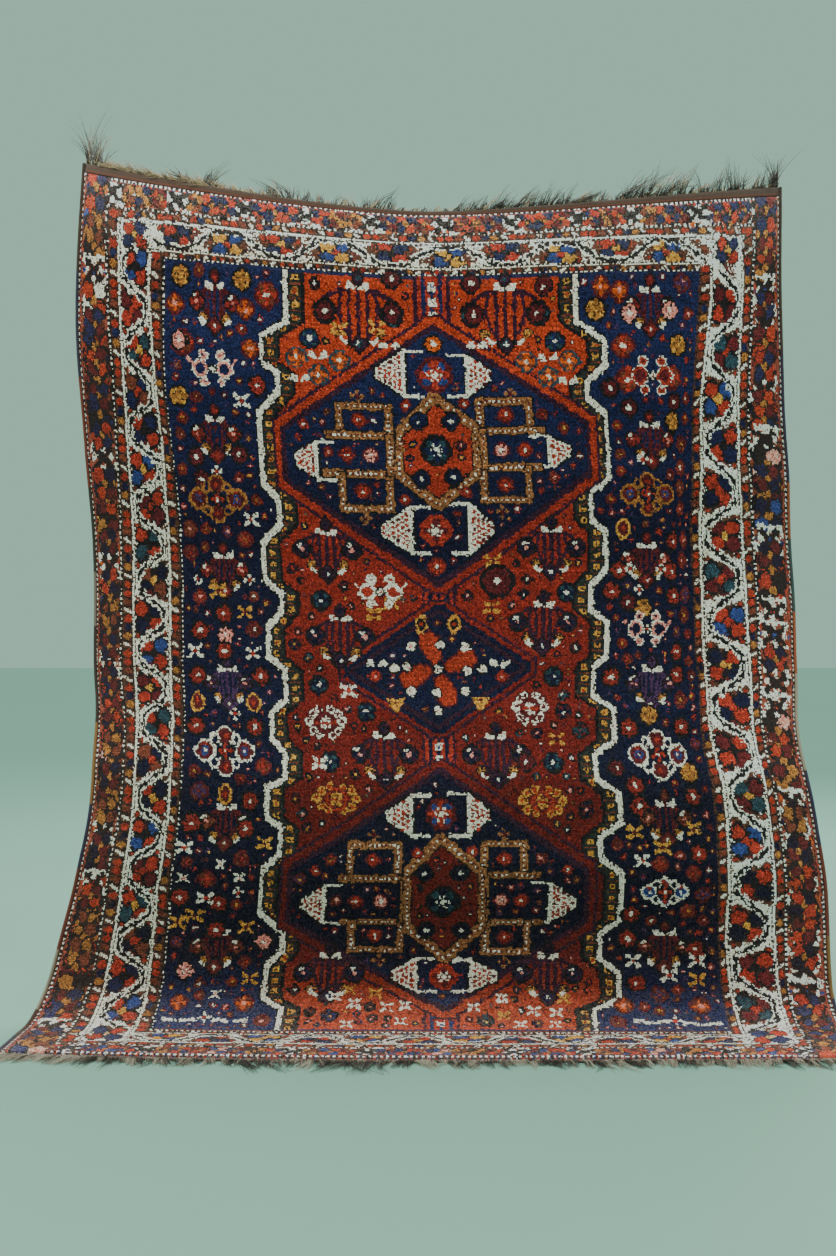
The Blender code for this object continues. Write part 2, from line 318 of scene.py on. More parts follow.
def rosette(col, row, body, radius, rim="black", eye="ivory", accent=None):
    # eight petals round an eye, on a rounded ground of the rim's yarn
    spot(col, row, radius, rim)
    for petal in range(8):
        yarn = accent if accent and petal % 2 else body
        spot(*around(col, row, radius * 0.58, petal * math.tau / 8), radius * 0.24, yarn)
    spot(col, row, radius * 0.44, body)
    for turn in (0.4, 2.0, 3.5, 5.1):
        spot(*around(col, row, radius * 0.42, turn), 0.5, rim)
    spot(col, row, max(radius * 0.2, 0.8), eye)


def petals(col, row, petal, eye, reach=3.4):
    for dx, dy in ((-1, -1), (1, -1), (-1, 1), (1, 1)):
        start = col + dx * reach * 0.35, row + dy * reach * 0.35
        line([start, (col + dx * reach, row + dy * reach * 0.8)], reach * 0.5, petal)
    spot(col, row, reach * 0.36, eye)


def cross(col, row, arm, eye, reach=2.8):
    for dx, dy in ((-1, 0), (1, 0), (0, -1), (0, 1)):
        spot(col + dx * reach * 0.8, row + dy * reach * 0.8, reach * 0.36, arm)
    spot(col, row, reach * 0.36, eye)


def leafPair(col, row, spread=4.0):
    for side in (-1, 1):
        line([(col + side * 1.6, row + 0.8), (col + side * spread, row - 1.0)], 1.9, "ivory")
        line([(col + side * spread * 0.8, row + 1.2), (col + side * (spread + 0.8), row + 0.4)], 0.9, "ivory")


def butterfly(col, row, wing, rim, half):
    for side in (-1, 1):
        for dx, dy, share in ((0.50, 0.0, 0.36), (0.36, -0.52, 0.2), (0.34, 0.50, 0.18)):
            size = half * share
            rings = [(size, "ivory"), (size - 0.7, rim), (size - 1.9, wing)]
            spots(col + side * half * dx, row + half * dy, rings)
        line([(col + side * half * 0.84, row - 2), (col + side * half, row - 4.5)], 1.2, rim)
    spot(col, row, 2.6, "black")
    cross(col, row, "ivory", "madder", 1.9)


def lozengeFlower(col, row, rim, body, halfWide, halfTall):
    for side in (-1, 1):
        x, size = col + side * halfWide * 0.62, halfWide * 0.33
        spots(x, row, [(size, rim), (size - 1.3, body)])
        rosette(x, row, "blue", size * 0.5, body, rim)
        spot(x, row - size * 0.6, 1.0, "madder")
    for side in (-1, 1):
        y, size = row + side * halfTall * 0.60, halfTall * 0.42
        spots(col, y, [(size, rim), (size - 1.3, body), (1.4, "madder")])
        for dx in (-1, 1):
            spots(col + dx * halfWide * 0.34, row + side * halfTall * 0.50, [(2.7, rim), (1.5, "navy")])
    rosette(col, row, "madder", 4.6, "black", "ivory", "navy")


def sideFlower(col, row, petal, halfWide, halfTall):
    # a wide flower seen from the side, its petals spread on both sides of its eye
    heart = "scarlet" if petal == "ochre" else "wine"
    spread = ((0.80, -0.1, 2.5), (0.60, -0.62, 2.2), (0.60, 0.52, 2.2), (0.30, -0.86, 2.0), (0.32, 0.80, 2.0))
    for side in (-1, 1):
        for dx, dy, size in spread:
            rings = [(size + 0.6, "wine"), (size, petal), (1.1, heart)]
            spots(col + side * halfWide * dx, row + halfTall * dy, rings)
    spot(col, row, 5.6, heart)
    rosette(col, row, petal, 4.4, "wine", "madder")
    line([(col - halfWide * 0.5, row), (col + halfWide * 0.5, row)], 1.0, "madder")


def tree(col, row, wood, bloom, tall, spread):
    # three upright stems under a bud, two arches that carry a blossom each, and a lozenge at the foot
    top, foot = row - tall / 2, row + tall / 2
    step, stout = 1.2 + spread * 0.20, 1.1 + spread * 0.075
    for dx, width, start in ((0, stout, 6), (-step, stout * 0.85, 9), (step, stout * 0.85, 9)):
        line([(col + dx, top + start), (col + dx, foot - 4)], width, wood)
    for side in (-1, 1):
        x, y = col + side * spread, top + tall * 0.50
        bend = [(col + side * spread * 0.50, top + 9), (col + side * spread * 0.60, y)]
        line([(col, top + 6), *bend, (col + side * step, foot - 5)], stout * 0.75, wood)
        line([(col + side * spread * 0.5, top + 8), (x, top + 12)], stout * 0.75, wood)
        rosette(x, y, bloom, 1.9 + spread * 0.26, "black", "rose", wood)
        line([(x - 1.8, y - 1.8), (x - 0.4, y - 3.0)], 1.2, "ivory")
        rosette(col + side * spread * 0.64, top + tall * 0.76, "gold", 2.8, "black", "ochre")
        leaf = col + side * (step + 2.0)
        line([(leaf, foot - 3.5), (leaf + side * 2.4, foot - 5.5)], 1.7, "ivory")
    spots(col, top + 2.5, [(3.2, "black"), (2.2, wood)], 1.2)
    spot(col, top + 2.5, 1.2, bloom)
    leafPair(col, top + 6.5, 4.4)
    base = foot - 3
    for wide, high, yarn in ((6, 6, "black"), (4.6, 4.5, wood), (2.6, 2.5, bloom)):
        shape([(col, base - high), (col + wide, base), (col, base + high), (col - wide, base)], yarn)
    spot(col, base, 0.8, "ivory")


def ring(col, row, radius, body, tall):
    spots(col, row, [(radius, "ochre"), (radius - 1.2, body)], tall)
    spot(col, row, 1.0, "madder")


def latchBar(points, loop=False):
    line(points, 4.8, "black", loop)
    line(points, 3.7, "camel", loop)
    for index, (col, row) in enumerate(evenly(points, 1.3, loop)):
        spot(col, row, 0.6, "ivory" if index % 2 else "wine")


def gable(base, top, foot, apexCol):
    # an ivory gable full of red dots, its long side towards the medallion's middle
    middle = (top + foot) / 2
    out = 1 if apexCol > base else -1
    outline = [(base, top), (base, foot), (apexCol, middle + 2), (apexCol, middle - 2)]
    line(outline, 3.0, "black", True)
    shape(outline, "ivory")
    line(outline, 1.0, "ivory", True)
    for step in range(int(abs(apexCol - base) // 2.4)):
        col = base + out * (2.4 + step * 2.4)
        half = (foot - top) / 2 * (1 - abs(col - base) / (abs(apexCol - base) + 4)) - 0.8
        for dot in range(int(half // 2.8) + 1 if half > 0 else 0):
            for side in (-1, 1):
                yarn = "madder" if (dot + step) % 4 else "wine"
                spot(col, middle + side * (dot * 2.8 + (step % 2) * 1.4), 0.95, yarn)
    for row in (top, foot):
        line([(base, row), (base - out * 9, row)], 1.5, "ivory")


medallions = [
    {
        "outline": [(200, 61), (277, 112), (277, 137), (198, 196), (122, 142), (122, 116)],
        "hexagon": [(199, 97), (219, 113), (219, 137), (199, 154), (180, 138), (181, 116)],
        "bars": [
            [(151, 117), (151, 103), (176, 103), (176, 117)],
            [(146, 118), (180, 118)],
            [(143, 138), (178, 138)],
            [(151, 139), (151, 156), (175, 156), (175, 139)],
            [(176, 119), (176, 137)],
            [(222, 115), (222, 100), (247, 100), (247, 115)],
            [(222, 115), (253, 115)],
            [(219, 134), (251, 134)],
            [(222, 135), (222, 151), (245, 151), (245, 135)],
            [(223, 116), (223, 133)],
        ],
        "knobs": [(161, 98), (162, 161), (238, 96), (231, 157)],
        "gables": [
            (139, 122, 141, 128), (256, 118, 134, 267), (185, 74, 97, 171), (216, 76, 97, 228),
            (185, 155, 179, 170), (214, 153, 179, 226),
        ],
        "rosettes": [
            ("madder", 9, [(200, 86)]), ("wine", 8, [(197, 167)]), ("orange", 5, [(200, 70)]),
            ("madder", 5, [(197, 186)]), ("navy", 8, [(199, 125)]),
            ("navy", 5, [(191, 110), (207, 110), (191, 140), (207, 139)]),
            ("madder", 4, [(161, 110), (154, 128), (161, 147), (235, 107), (244, 125), (233, 143)]),
            ("rose", 4, [(166, 128), (232, 125)]),
            ("madder", 3, [(185, 102), (214, 101), (133, 113), (182, 151), (213, 147)]),
        ],
    },
    {
        "outline": [(198, 294), (272, 345), (272, 375), (203, 425), (120, 375), (120, 345)],
        "hexagon": [(198, 328), (219, 346), (220, 378), (202, 396), (182, 378), (181, 346)],
        "bars": [
            [(151, 348), (151, 332), (176, 332), (176, 348)],
            [(147, 350), (180, 350)],
            [(149, 375), (182, 375)],
            [(154, 376), (154, 391), (179, 391), (179, 376)],
            [(180, 352), (180, 373)],
            [(220, 347), (220, 331), (240, 331), (240, 347)],
            [(219, 348), (246, 348)],
            [(221, 375), (248, 375)],
            [(222, 376), (222, 392), (243, 392), (243, 376)],
            [(221, 350), (221, 373)],
        ],
        "knobs": [(163, 327), (169, 397), (230, 326), (232, 398)],
        "gables": [
            (139, 354, 376, 127), (253, 352, 375, 266), (183, 307, 327, 170), (212, 306, 327, 222),
            (188, 396, 414, 176), (215, 397, 414, 228),
        ],
        "rosettes": [
            ("madder", 8, [(198, 316)]), ("wine", 7, [(202, 406)]), ("navy", 9, [(200, 363)]),
            ("navy", 5, [(190, 347), (208, 347), (192, 380), (210, 380)]),
            ("madder", 4, [(163, 340), (155, 363), (166, 383), (230, 339), (239, 362), (232, 384)]),
            ("rose", 4, [(168, 363), (229, 362)]),
            ("madder", 3, [(133, 346), (262, 345), (186, 336), (214, 335)]),
        ],
    },
]

# the ivory line that steps down each side of the red ground: a column, and the rows it runs straight between
steppedLine = {
    "left": [
        (126, 40, 62), (113, 70, 83), (120.5, 88, 98), (110, 109, 145), (117.5, 152, 165), (107.5, 175, 195),
        (116, 202, 212), (108.5, 220, 235), (117.5, 243, 258), (108.5, 265, 279), (115.5, 286, 299),
        (105.5, 304, 319), (113.5, 324, 338), (105, 346, 370), (118.5, 382, 393), (112, 400, 418),
        (122, 424, 439),
    ],
    "right": [
        (273.5, 40, 60), (288, 70, 82), (278, 91, 99), (287, 107, 140), (277, 147, 161), (284.5, 168, 188),
        (276.5, 196, 209), (286, 216, 234), (279, 240, 255), (290.5, 262, 279), (279.5, 286, 299),
        (290, 306, 320), (278.5, 328, 339), (289.5, 347, 373), (280, 382, 395), (290, 403, 418),
        (277, 424, 439),
    ],
}

# small motifs: for each kind, its yarns and the places of its middle
fieldMotifs = [
    (rosette, ("gold", 5.8, "black", "ochre", "ochre"), [
        (69, 45), (103, 45), (67, 102), (284, 55), (330, 73), (325, 111), (305, 208), (330, 295), (310, 265),
    ]),
    (rosette, ("orange", 5, "wine", "rose", "rust"), [
        (66, 58), (105, 58), (107, 77), (287, 45), (297, 47), (70, 421), (103, 421), (292, 421), (330, 420),
    ]),
    (rosette, ("madder", 6.5, "wine", "ivory", "rust"), [
        (298, 73), (116, 51), (70, 76), (326, 89), (300, 90),
    ]),
    (rosette, ("brick", 5.5), [
        (110, 95), (84, 213), (84, 233), (70, 222), (68, 246), (104, 246), (66, 273), (99, 273), (66, 323),
        (94, 325), (96, 311), (64, 363), (83, 366), (83, 381), (326, 231), (323, 172), (292, 188), (321, 188),
        (288, 199), (323, 201), (289, 245), (326, 243), (299, 272), (329, 271), (299, 302), (300, 312),
        (330, 307), (295, 370), (331, 336), (294, 384), (329, 389), (299, 408),
    ]),
    (rosette, ("wine", 5), [
        (290, 94), (300, 104), (327, 101), (290, 293), (146, 56), (180, 40), (180, 55), (220, 42), (221, 56),
        (253, 56), (257, 44), (258, 291), (243, 290), (297, 205), (98, 130), (76, 143), (74, 132),
    ]),
    (rosette, ("rose", 5), [(302, 57), (325, 56), (109, 387), (70, 403), (85, 224), (68, 75)]),
    (rosette, ("orange", 5.6, "teal", "ivory", "rust"), [
        (131, 80), (142, 88), (153, 80), (247, 80), (258, 88), (269, 80),
    ]),
    (rosette, ("navy", 5.5, "black", "ivory", "teal"), [
        (138, 70), (262, 70), (160, 264), (137, 205), (258, 245), (135, 250), (264, 200), (140, 290),
        (257, 290),
    ]),
    (petals, ("ivory", "madder"), [
        (101, 103), (102, 163), (67, 233), (100, 234), (64, 336), (151, 253), (134, 291), (300, 340),
        (76, 363), (316, 403), (297, 396), (330, 395),
    ]),
    (petals, ("ochre", "wine"), [
        (153, 64), (172, 62), (165, 212), (174, 206), (226, 183), (225, 208), (81, 201), (96, 212),
        (297, 325), (329, 323), (311, 333), (72, 373), (64, 377), (99, 379), (104, 407), (330, 405),
        (260, 278), (105, 332),
    ]),
    (cross, ("ivory", "madder"), [
        (306, 130), (298, 187), (315, 187), (85, 139), (93, 359), (69, 195), (99, 195), (88, 266), (303, 198),
    ]),
    (leafPair, (), [(142, 78), (178, 71), (222, 71), (258, 78), (132, 90), (268, 90)]),
    (leafPair, (8.0,), [(72, 432), (98, 432), (305, 431), (329, 432)]),
    (cross, ("ivory", "madder", 2.6), [(85, 430), (317, 430)]),
    (butterfly, ("navy", "rose", 13), [(86, 88), (308, 219)]),
    (butterfly, ("madder", "ivory", 13), [(168, 200)]),
    (butterfly, ("wine", "madder", 14), [(314, 88)]),
    (lozengeFlower, ("gold", "wine", 17.5, 12), [(84, 153)]),
    (lozengeFlower, ("gold", "wine", 16, 11), [(308, 148)]),
    (lozengeFlower, ("ivory", "wine", 17.5, 13), [(82, 286), (314, 286)]),
    (lozengeFlower, ("ivory", "blue", 13, 8), [(312, 357)]),
    (sideFlower, ("ochre", 13, 7), [(143, 309), (250, 310)]),
    (sideFlower, ("ivory", 11, 8), [(138, 270)]),
    (sideFlower, ("ivory", 9, 8), [(246, 262)]),
    (rosette, ("wine", 9, "black", "ivory"), [(228, 194)]),
    (petals, ("ivory", "rose", 2.3), [(65, 352), (93, 351), (82, 344), (88, 416)]),
    (petals, ("ivory", "madder", 2.6), [
        (148, 417), (158, 421), (174, 423), (183, 422), (231, 418), (217, 423), (247, 425), (258, 426),
        (155, 434), (181, 432), (240, 434), (257, 434),
    ]),
    (petals, ("ochre", "wine", 2.6), [(168, 415), (155, 413), (262, 418), (232, 428)]),
    (ring, (4, "wine", 1.4), [(67, 260), (99, 260), (294, 166), (82, 308)]),
]
fieldTrees = [
    ("wine", "brick", 28, 10, [(88, 56), (86, 120), (85, 190), (314, 54), (311, 120), (307, 182)]),
    ("aubergine", "plum", 28, 10, [(85, 250), (311, 248)]),
    ("wine", "rust", 28, 10, [(83, 322), (314, 318), (313, 388), (85, 390)]),
    ("plum", "teal", 36, 17, [(163, 56), (237, 56)]),
    ("plum", "navy", 32, 13, [
        (141, 178), (256, 176), (147, 224), (252, 216), (169, 286), (228, 286), (144, 404), (254, 404),
    ]),
]


def drawField():
    fill(60, 38, 341, 440, "navy")
    lines = {
        side: [
            (col, row) for col, top, foot in steppedLine[side] for row in (top, foot)
        ] for side in steppedLine
    }
    inner = {
        side: [(col + step, row) for col, row in lines[side]] for side, step in (("left", 9), ("right", -9))
    }
    shape(lines["left"] + lines["right"][::-1], "green")
    shape(inner["left"] + inner["right"][::-1], "ground")
    for side, step in (("left", 4.8), ("right", -4.8)):
        cols, rows = np.array(lines[side]).T
        for row in range(42, 439, 6):
            middle = float(np.interp(row, rows, cols)) + step
            yarn = "ochre" if row > 150 or row % 12 else "gold"
            fill(middle - 1.6, row - 1.5, middle + 1.6, row + 1.5, yarn)
            spot(middle, row, 0.7, "black" if row % 12 else "madder")
            line([(middle - 2.6, row + 3), (middle + 2.6, row + 3)], 0.7, "rust")
        line(inner[side], 1.4, "black")
        line(lines[side], 3.8, "black")
        line(lines[side], 2.4, "ivory")


def drawMedallion(plan):
    line(plan["outline"], 11, "plum", True)
    line(plan["outline"], 8.4, "ground", True)
    shape(plan["outline"], "navy")
    line(plan["outline"], 2.4, "plum", True)
    for base, top, foot, apexCol in plan["gables"]:
        gable(base, top, foot, apexCol)
    shape(plan["hexagon"], "ground")
    for bar in plan["bars"]:
        latchBar(bar)
    for col, row in plan["knobs"]:
        cross(col, row, "camel", "wine", 3.0)
    latchBar(plan["hexagon"], True)
    for body, radius, places in plan["rosettes"]:
        large = radius >= 6
        accent = {"madder": "blue", "navy": "teal"}.get(body, "madder") if large else None
        rims = {"wine": "madder", "navy": "black"} if large else {"navy": "black", "orange": "black"}
        for col, row in places:
            rosette(col, row, body, radius, rims.get(body, "wine"), "ivory", accent)
            for turn in range(6 if large else 0):
                spot(*around(col, row, radius * 0.36, turn * math.tau / 6), 0.7, "ivory")


def drawStem(top, foot, middle):
    fill(middle - 9, top, middle + 9, foot, "plum")
    fill(middle - 7.4, top, middle + 7.4, foot, "madder")
    for side in (-1, 1):
        line([(middle + side * 4.6, top), (middle + side * 4.6, foot)], 2.0, "navy")
    for row in range(round(top) + 5, round(foot) - 2, 7):
        fill(middle - 2, row - 2, middle + 2, row + 2, "ivory")
        spot(middle, row, 0.8, "blue")
        spot(middle, row + 3.5, 1.2, "navy")


smallDiamond = {
    "middle": (198, 241),
    "tips": [(198, 210), (243, 240), (198, 272), (152, 243)],
    "petal": [(-2.4, -3), (1.6, -5), (1.2, -15), (-4, -20), (-9.5, -18), (-9.5, -12), (-5, -6)],
    "stars": [
        (-14, -12), (1, -13), (14, -12), (-23, 0), (-16, -1), (0, 0), (15, 1), (23, 0), (-14, 12), (-1, 13),
        (14, 12), (0, 22),
    ],
    "rings": [(189, 217), (206, 217)],
    "cups": [(176, 260), (220, 259)],
}


def drawSmallDiamond():
    middle, tips, petal = (smallDiamond[name] for name in ("middle", "tips", "petal"))
    line(tips, 12, "plum", True)
    line(tips, 9.4, "ground", True)
    shape(tips, "navy")
    line(tips, 6, "navy", True)
    line(tips, 1.8, "plum", True)
    for _ in range(4):
        outline = [(middle[0] + x, middle[1] + y) for x, y in petal]
        line(outline, 1.6, "wine", True)
        shape(outline, "scarlet")
        petal = [(-y, x) for x, y in petal]
    for dx, dy in smallDiamond["stars"]:
        spots(middle[0] + dx, middle[1] + dy, [(3.0, "black"), (2.3, "ivory"), (0.6, "rose")])
    for side in (-1, 1):
        leafPair(middle[0] + side * 32, middle[1] - 3)
        rosette(middle[0] + side * 33, middle[1] + 4, "madder", 3.4, "wine", "rose")
    for col, row in smallDiamond["rings"]:
        ring(col, row, 3.2, "black", 1.6)
    for col, row in smallDiamond["cups"]:
        shape([(col - 5, row - 3), (col + 5, row - 3), (col + 1, row + 4), (col - 1, row + 4)], "ochre")
        spot(col, row - 1, 1.2, "wine")


def fillBareGround(numbers):
    # small blossoms wherever the ground is still bare, as the weaver left no wide plain places
    grounds = [yarnNumber["navy"], yarnNumber["ground"]]
    onNavy = ("brick", "wine", "rust", "brick", "aubergine", "brick", "wine")
    onRed = ("teal", "black", "navy", "wine", "plum", "black")
    eyes = ("ivory", "rose", "gold", "madder", "ochre")
    for reach, step, share in ((5.2, 3.5, 0.85), (3.8, 3, 0.85), (2.5, 2.5, 0.75), (1.4, 2.5, 0.35)):
        for row in np.arange(42, 438, step):
            for col in np.arange(62, 340, step):
                x, y = col + numbers.uniform(-1.5, 1.5), row + numbers.uniform(-1.5, 1.5)
                near, _, _ = window(x - reach, y - reach, x + reach, y + reach)
                if near[0, 0] not in grounds or (near != near[0, 0]).any() or numbers.random() > share:
                    continue
                red = near[0, 0] == grounds[1]
                choices = onRed if red else onNavy
                body = choices[int(numbers.integers(len(choices)))]
                eye = eyes[int(numbers.integers(len(eyes)))]
                if reach > 3:
                    rosette(
                        x, y, body, reach - 0.7, "black" if red else "wine", eye, "wine" if red else "rust",
                    )
                elif reach > 2:
                    rosette(x, y, body, reach - 0.4, "black" if red else "plum", eye)
                else:
                    cross(x, y, body, eye, 1.2)


# the borders, each stripe's depth from the outer edge in knots, for the sides and for the two ends
borderDepths = {
    "side": {
        "outer": (2, 22), "dotsOut": (22, 24), "minorOut": (24, 30), "white": (30, 53), "minorIn": (53, 58.5),
        "dotsIn": (58.5, 61),
    },
    "end": {
        "outer": (2, 14.5), "dotsOut": (14.5, 16), "minorOut": (16, 20), "white": (20, 35),
        "minorIn": (35, 37.5), "dotsIn": (37.5, 39),
    },
}
# where the first outward bend is, the length of a repeat, the stripes beside the stem, its flowers' yarns
meanders = {
    "left": (43.0, 38.3, 6, [
        ("madder", "navy"), ("madder", "blue"), ("wine", "madder"), ("madder", "teal"), ("rust", "navy"),
    ]),
    "right": (53.0, 46.0, 6, [
        ("navy", "madder"), ("madder", "wine"), ("wine", "teal"), ("blue", "madder"), ("madder", "navy"),
    ]),
    "top": (95.0, 57.0, 6, [("ochre", "blue"), ("madder", "navy")]),
    "foot": (70.0, 48.0, 6, [("ochre", "blue"), ("madder", "navy")]),
}
stemStripes = [  # sideways from the stem, the shares of it that they run between, width and yarn
    (5.2, -0.10, 0.90, 1.3, "brown"), (-5.2, 0.10, 1.10, 1.3, "brown"), (7.8, -0.05, 0.65, 1.0, "rust"),
    (-7.8, 0.35, 1.05, 1.0, "rust"), (10.2, 0.00, 0.45, 1.0, "brown"), (-10.2, 0.55, 1.00, 1.0, "brown"),
]
outerBlots = {  # the large blots of the outer border: their two yarns and the places along it
    "left": [
        ("madder", "navy", [8, 146, 386, 456]), ("orange", "blue", [20]), ("ochre", "black", [34, 414]),
        ("ivory", "blue", [46]), ("orange", "ivory", [59]), ("blue", "madder", [80]),
        ("orange", "wine", [95, 402]), ("blue", "black", [112]), ("ivory", "black", [133, 188, 330, 440]),
        ("wine", "ochre", [163]), ("ochre", "blue", [205]), ("wine", "navy", [222, 344]),
        ("ivory", "madder", [240, 357]), ("orange", "navy", [256, 428]), ("navy", "madder", [275]),
        ("rose", "black", [294]), ("ochre", "wine", [308]), ("ochre", "navy", [371]),
        ("rose", "navy", [470]),
    ],
    "right": [
        ("wine", "navy", [8]), ("madder", "navy", [20, 425, 456]), ("ochre", "black", [35, 287, 440]),
        ("ivory", "blue", [46, 168, 219, 409]), ("ivory", "black", [60, 118, 245, 326, 355, 397]),
        ("orange", "wine", [71, 184]), ("ivory", "madder", [93, 206, 258, 383]),
        ("orange", "navy", [107]), ("rose", "black", [130, 271]), ("ochre", "wine", [144, 297, 340]),
        ("blue", "navy", [156]), ("black", "madder", [195]), ("ivory", "navy", [309]),
        ("ochre", "navy", [369]), ("orange", "black", [470]),
    ],
    "top": [
        ("orange", "navy", [14, 188]),
        ("ivory", "black", [26, 67, 105, 137, 170, 207, 240, 275, 303, 340, 380]),
        ("ochre", "blue", [46]), ("orange", "blue", [86, 121, 257, 322]), ("ochre", "wine", [153, 289]),
        ("orange", "wine", [223]), ("madder", "navy", [360, 392]),
    ],
    "foot": [
        (
            ("ochre", "ivory", "orange", "ivory", "madder", "rose")[index % 6],
            ("black", "navy", "blue")[index % 3],
            [14 + index * 17],
        )
        for index in range(23)
    ],
}


def borderPainter(side):
    # gives the drawing calls places as (along, depth) on one border, whichever way it runs
    turns = {
        "left": lambda s, d: (d, s),
        "right": lambda s, d: (designWide - d, s),
        "top": lambda s, d: (s, d),
        "foot": lambda s, d: (s, designTall - d),
    }
    place = turns[side]

    def box(s0, d0, s1, d1, yarn):
        (x0, y0), (x1, y1) = place(s0, d0), place(s1, d1)
        fill(min(x0, x1), min(y0, y1), max(x0, x1), max(y0, y1), yarn)

    def dab(s, d, radius, yarn, long=1.0):
        if side in ("left", "right"):
            spot(*place(s, d), radius, yarn, long)
        else:
            spot(*place(s, d), radius * long, yarn, 1 / long)

    def stroke(points, width, yarn):
        line([place(s, d) for s, d in points], width, yarn)

    return box, dab, stroke


def drawHook(dab, stroke, s, d, half, body):
    # a black stepped figure with ivory between its arms, and an ivory bar on each side
    for turn in (-1, 1):
        arm, bar, tip = s + turn * 4.2, s + turn * 6.6, d + turn * half * 0.80
        stroke([(s - turn * 4.2, d - half * 0.56), (arm, d + half * 0.56)], 2.6, "black")
        stroke([(bar, d - half * 0.72), (bar, d + half * 0.72)], 1.9, "ivory")
        stroke([(s + turn * 3.2, tip), (s + turn * 6.0, tip)], 2.0, "ivory")
        dab(s + turn * 4.4, d, 1.7, "ivory")
        dab(s, d + turn * half * 0.56, 1.7, "ivory")
        dab(s, d - turn * half * 0.86, 0.9, body)
    dab(s, d, 2.3, "black")
    dab(s, d, 0.9, body)


def crosswise(first, second):
    # four petals set crosswise, two of each yarn
    return (-1, -1, first), (1, 1, first), (1, -1, second), (-1, 1, second)


def drawFlower(dab, s, d, size, first, second, eye, long=1.0):
    # four petals, each with a dark rim
    for rim in (True, False):
        for ds, dd, yarn in crosswise(first, second):
            place = s + ds * size * 0.46 * long, d + dd * size * 0.46
            dab(*place, size * (0.53 if rim else 0.38), "black" if rim else yarn, long)
    dab(s, d, size * 0.22, eye, long)


def drawBlot(dab, s, d, half, first, second):
    # an open flower of the outer border, with small blossoms towards both of its edges
    dull = {"ochre": "gold", "orange": "scarlet", "blue": "navy" if int(s) % 3 else "blue"}
    pair = dull.get(first, first), dull.get(second, second)
    drawFlower(dab, s, d, half * 0.98, *pair, "black" if second in ("gold", "ochre") else "gold")
    dab(s, d - half * 0.80, 1.2, second)
    dab(s, d + half * 0.80, 1.2, "rust" if first != "madder" else "gold")


def drawMeander(dab, stroke, first, repeat, stripes, flowers, low, high, near, far):
    # the winding stem of the ivory border, with a large flower in each of its bends
    deep = far - near
    long = 1.0 if deep > 20 else 1.45
    shallow, inner = near + deep * 0.17, far - deep * 0.17
    s = first - repeat * (math.ceil((first - low) / repeat) + 1)
    places, depths = [], []
    while s < high + repeat:
        places += [s + repeat * share for share in (-0.17, -0.10, 0.10, 0.17, 0.33, 0.40, 0.60, 0.67)]
        depths += [shallow + deep * 0.12, shallow, shallow, shallow + deep * 0.12]
        depths += [inner - deep * 0.12, inner, inner, inner - deep * 0.12]
        s += repeat
    ends = np.interp([low, high], places, depths)
    stem = [(low, ends[0])] + [(s, d) for s, d in zip(places, depths) if low < s < high] + [(high, ends[1])]
    parts = list(zip(stem, stem[1:]))
    for (s0, d0), (s1, d1) in parts:
        if abs(d1 - d0) > deep * 0.2:
            for shift, start, stop, width, yarn in stemStripes[:stripes]:
                points = [(s0 + shift + (s1 - s0) * share, d0 + (d1 - d0) * share) for share in (start, stop)]
                stroke(points, width, yarn)
    bends = 0
    for (s0, d0), (s1, d1) in parts:
        if abs(d1 - d0) > deep * 0.2:
            for shift in (-2.8, 2.8):
                middle = (s0 + s1) / 2 + shift, (d0 + d1) / 2
                dab(*middle, 1.9, "brown" if shift > 0 else "wine")
                dab(*middle, 0.6, "ivory")
        elif d0 == d1 and s1 - s0 > repeat * 0.12:
            bends += 1
            outward = d0 == shallow
            body, leaf = flowers[bends % len(flowers) if len(flowers) > 2 else int(not outward)]
            edge = far - 2 if outward else near + 2
            s, d = (s0 + s1) / 2, (d0 + edge) / 2 + (0.6 if outward else -0.6)
            for step in (-1, 1):
                for radius, yarn in ((1.9, "brown"), (0.9, "madder")):
                    dab(s + step * deep * 0.44 * long, edge - (1.6 if outward else -1.6), radius, yarn)
            eye = "ochre" if bends % 3 == 0 else "madder" if body != "madder" else "black"
            drawFlower(dab, s, d, deep * 0.41, body, leaf, eye, long)
    stroke(stem, 3.3, "ivory")
    stroke(stem, 1.4, "black")


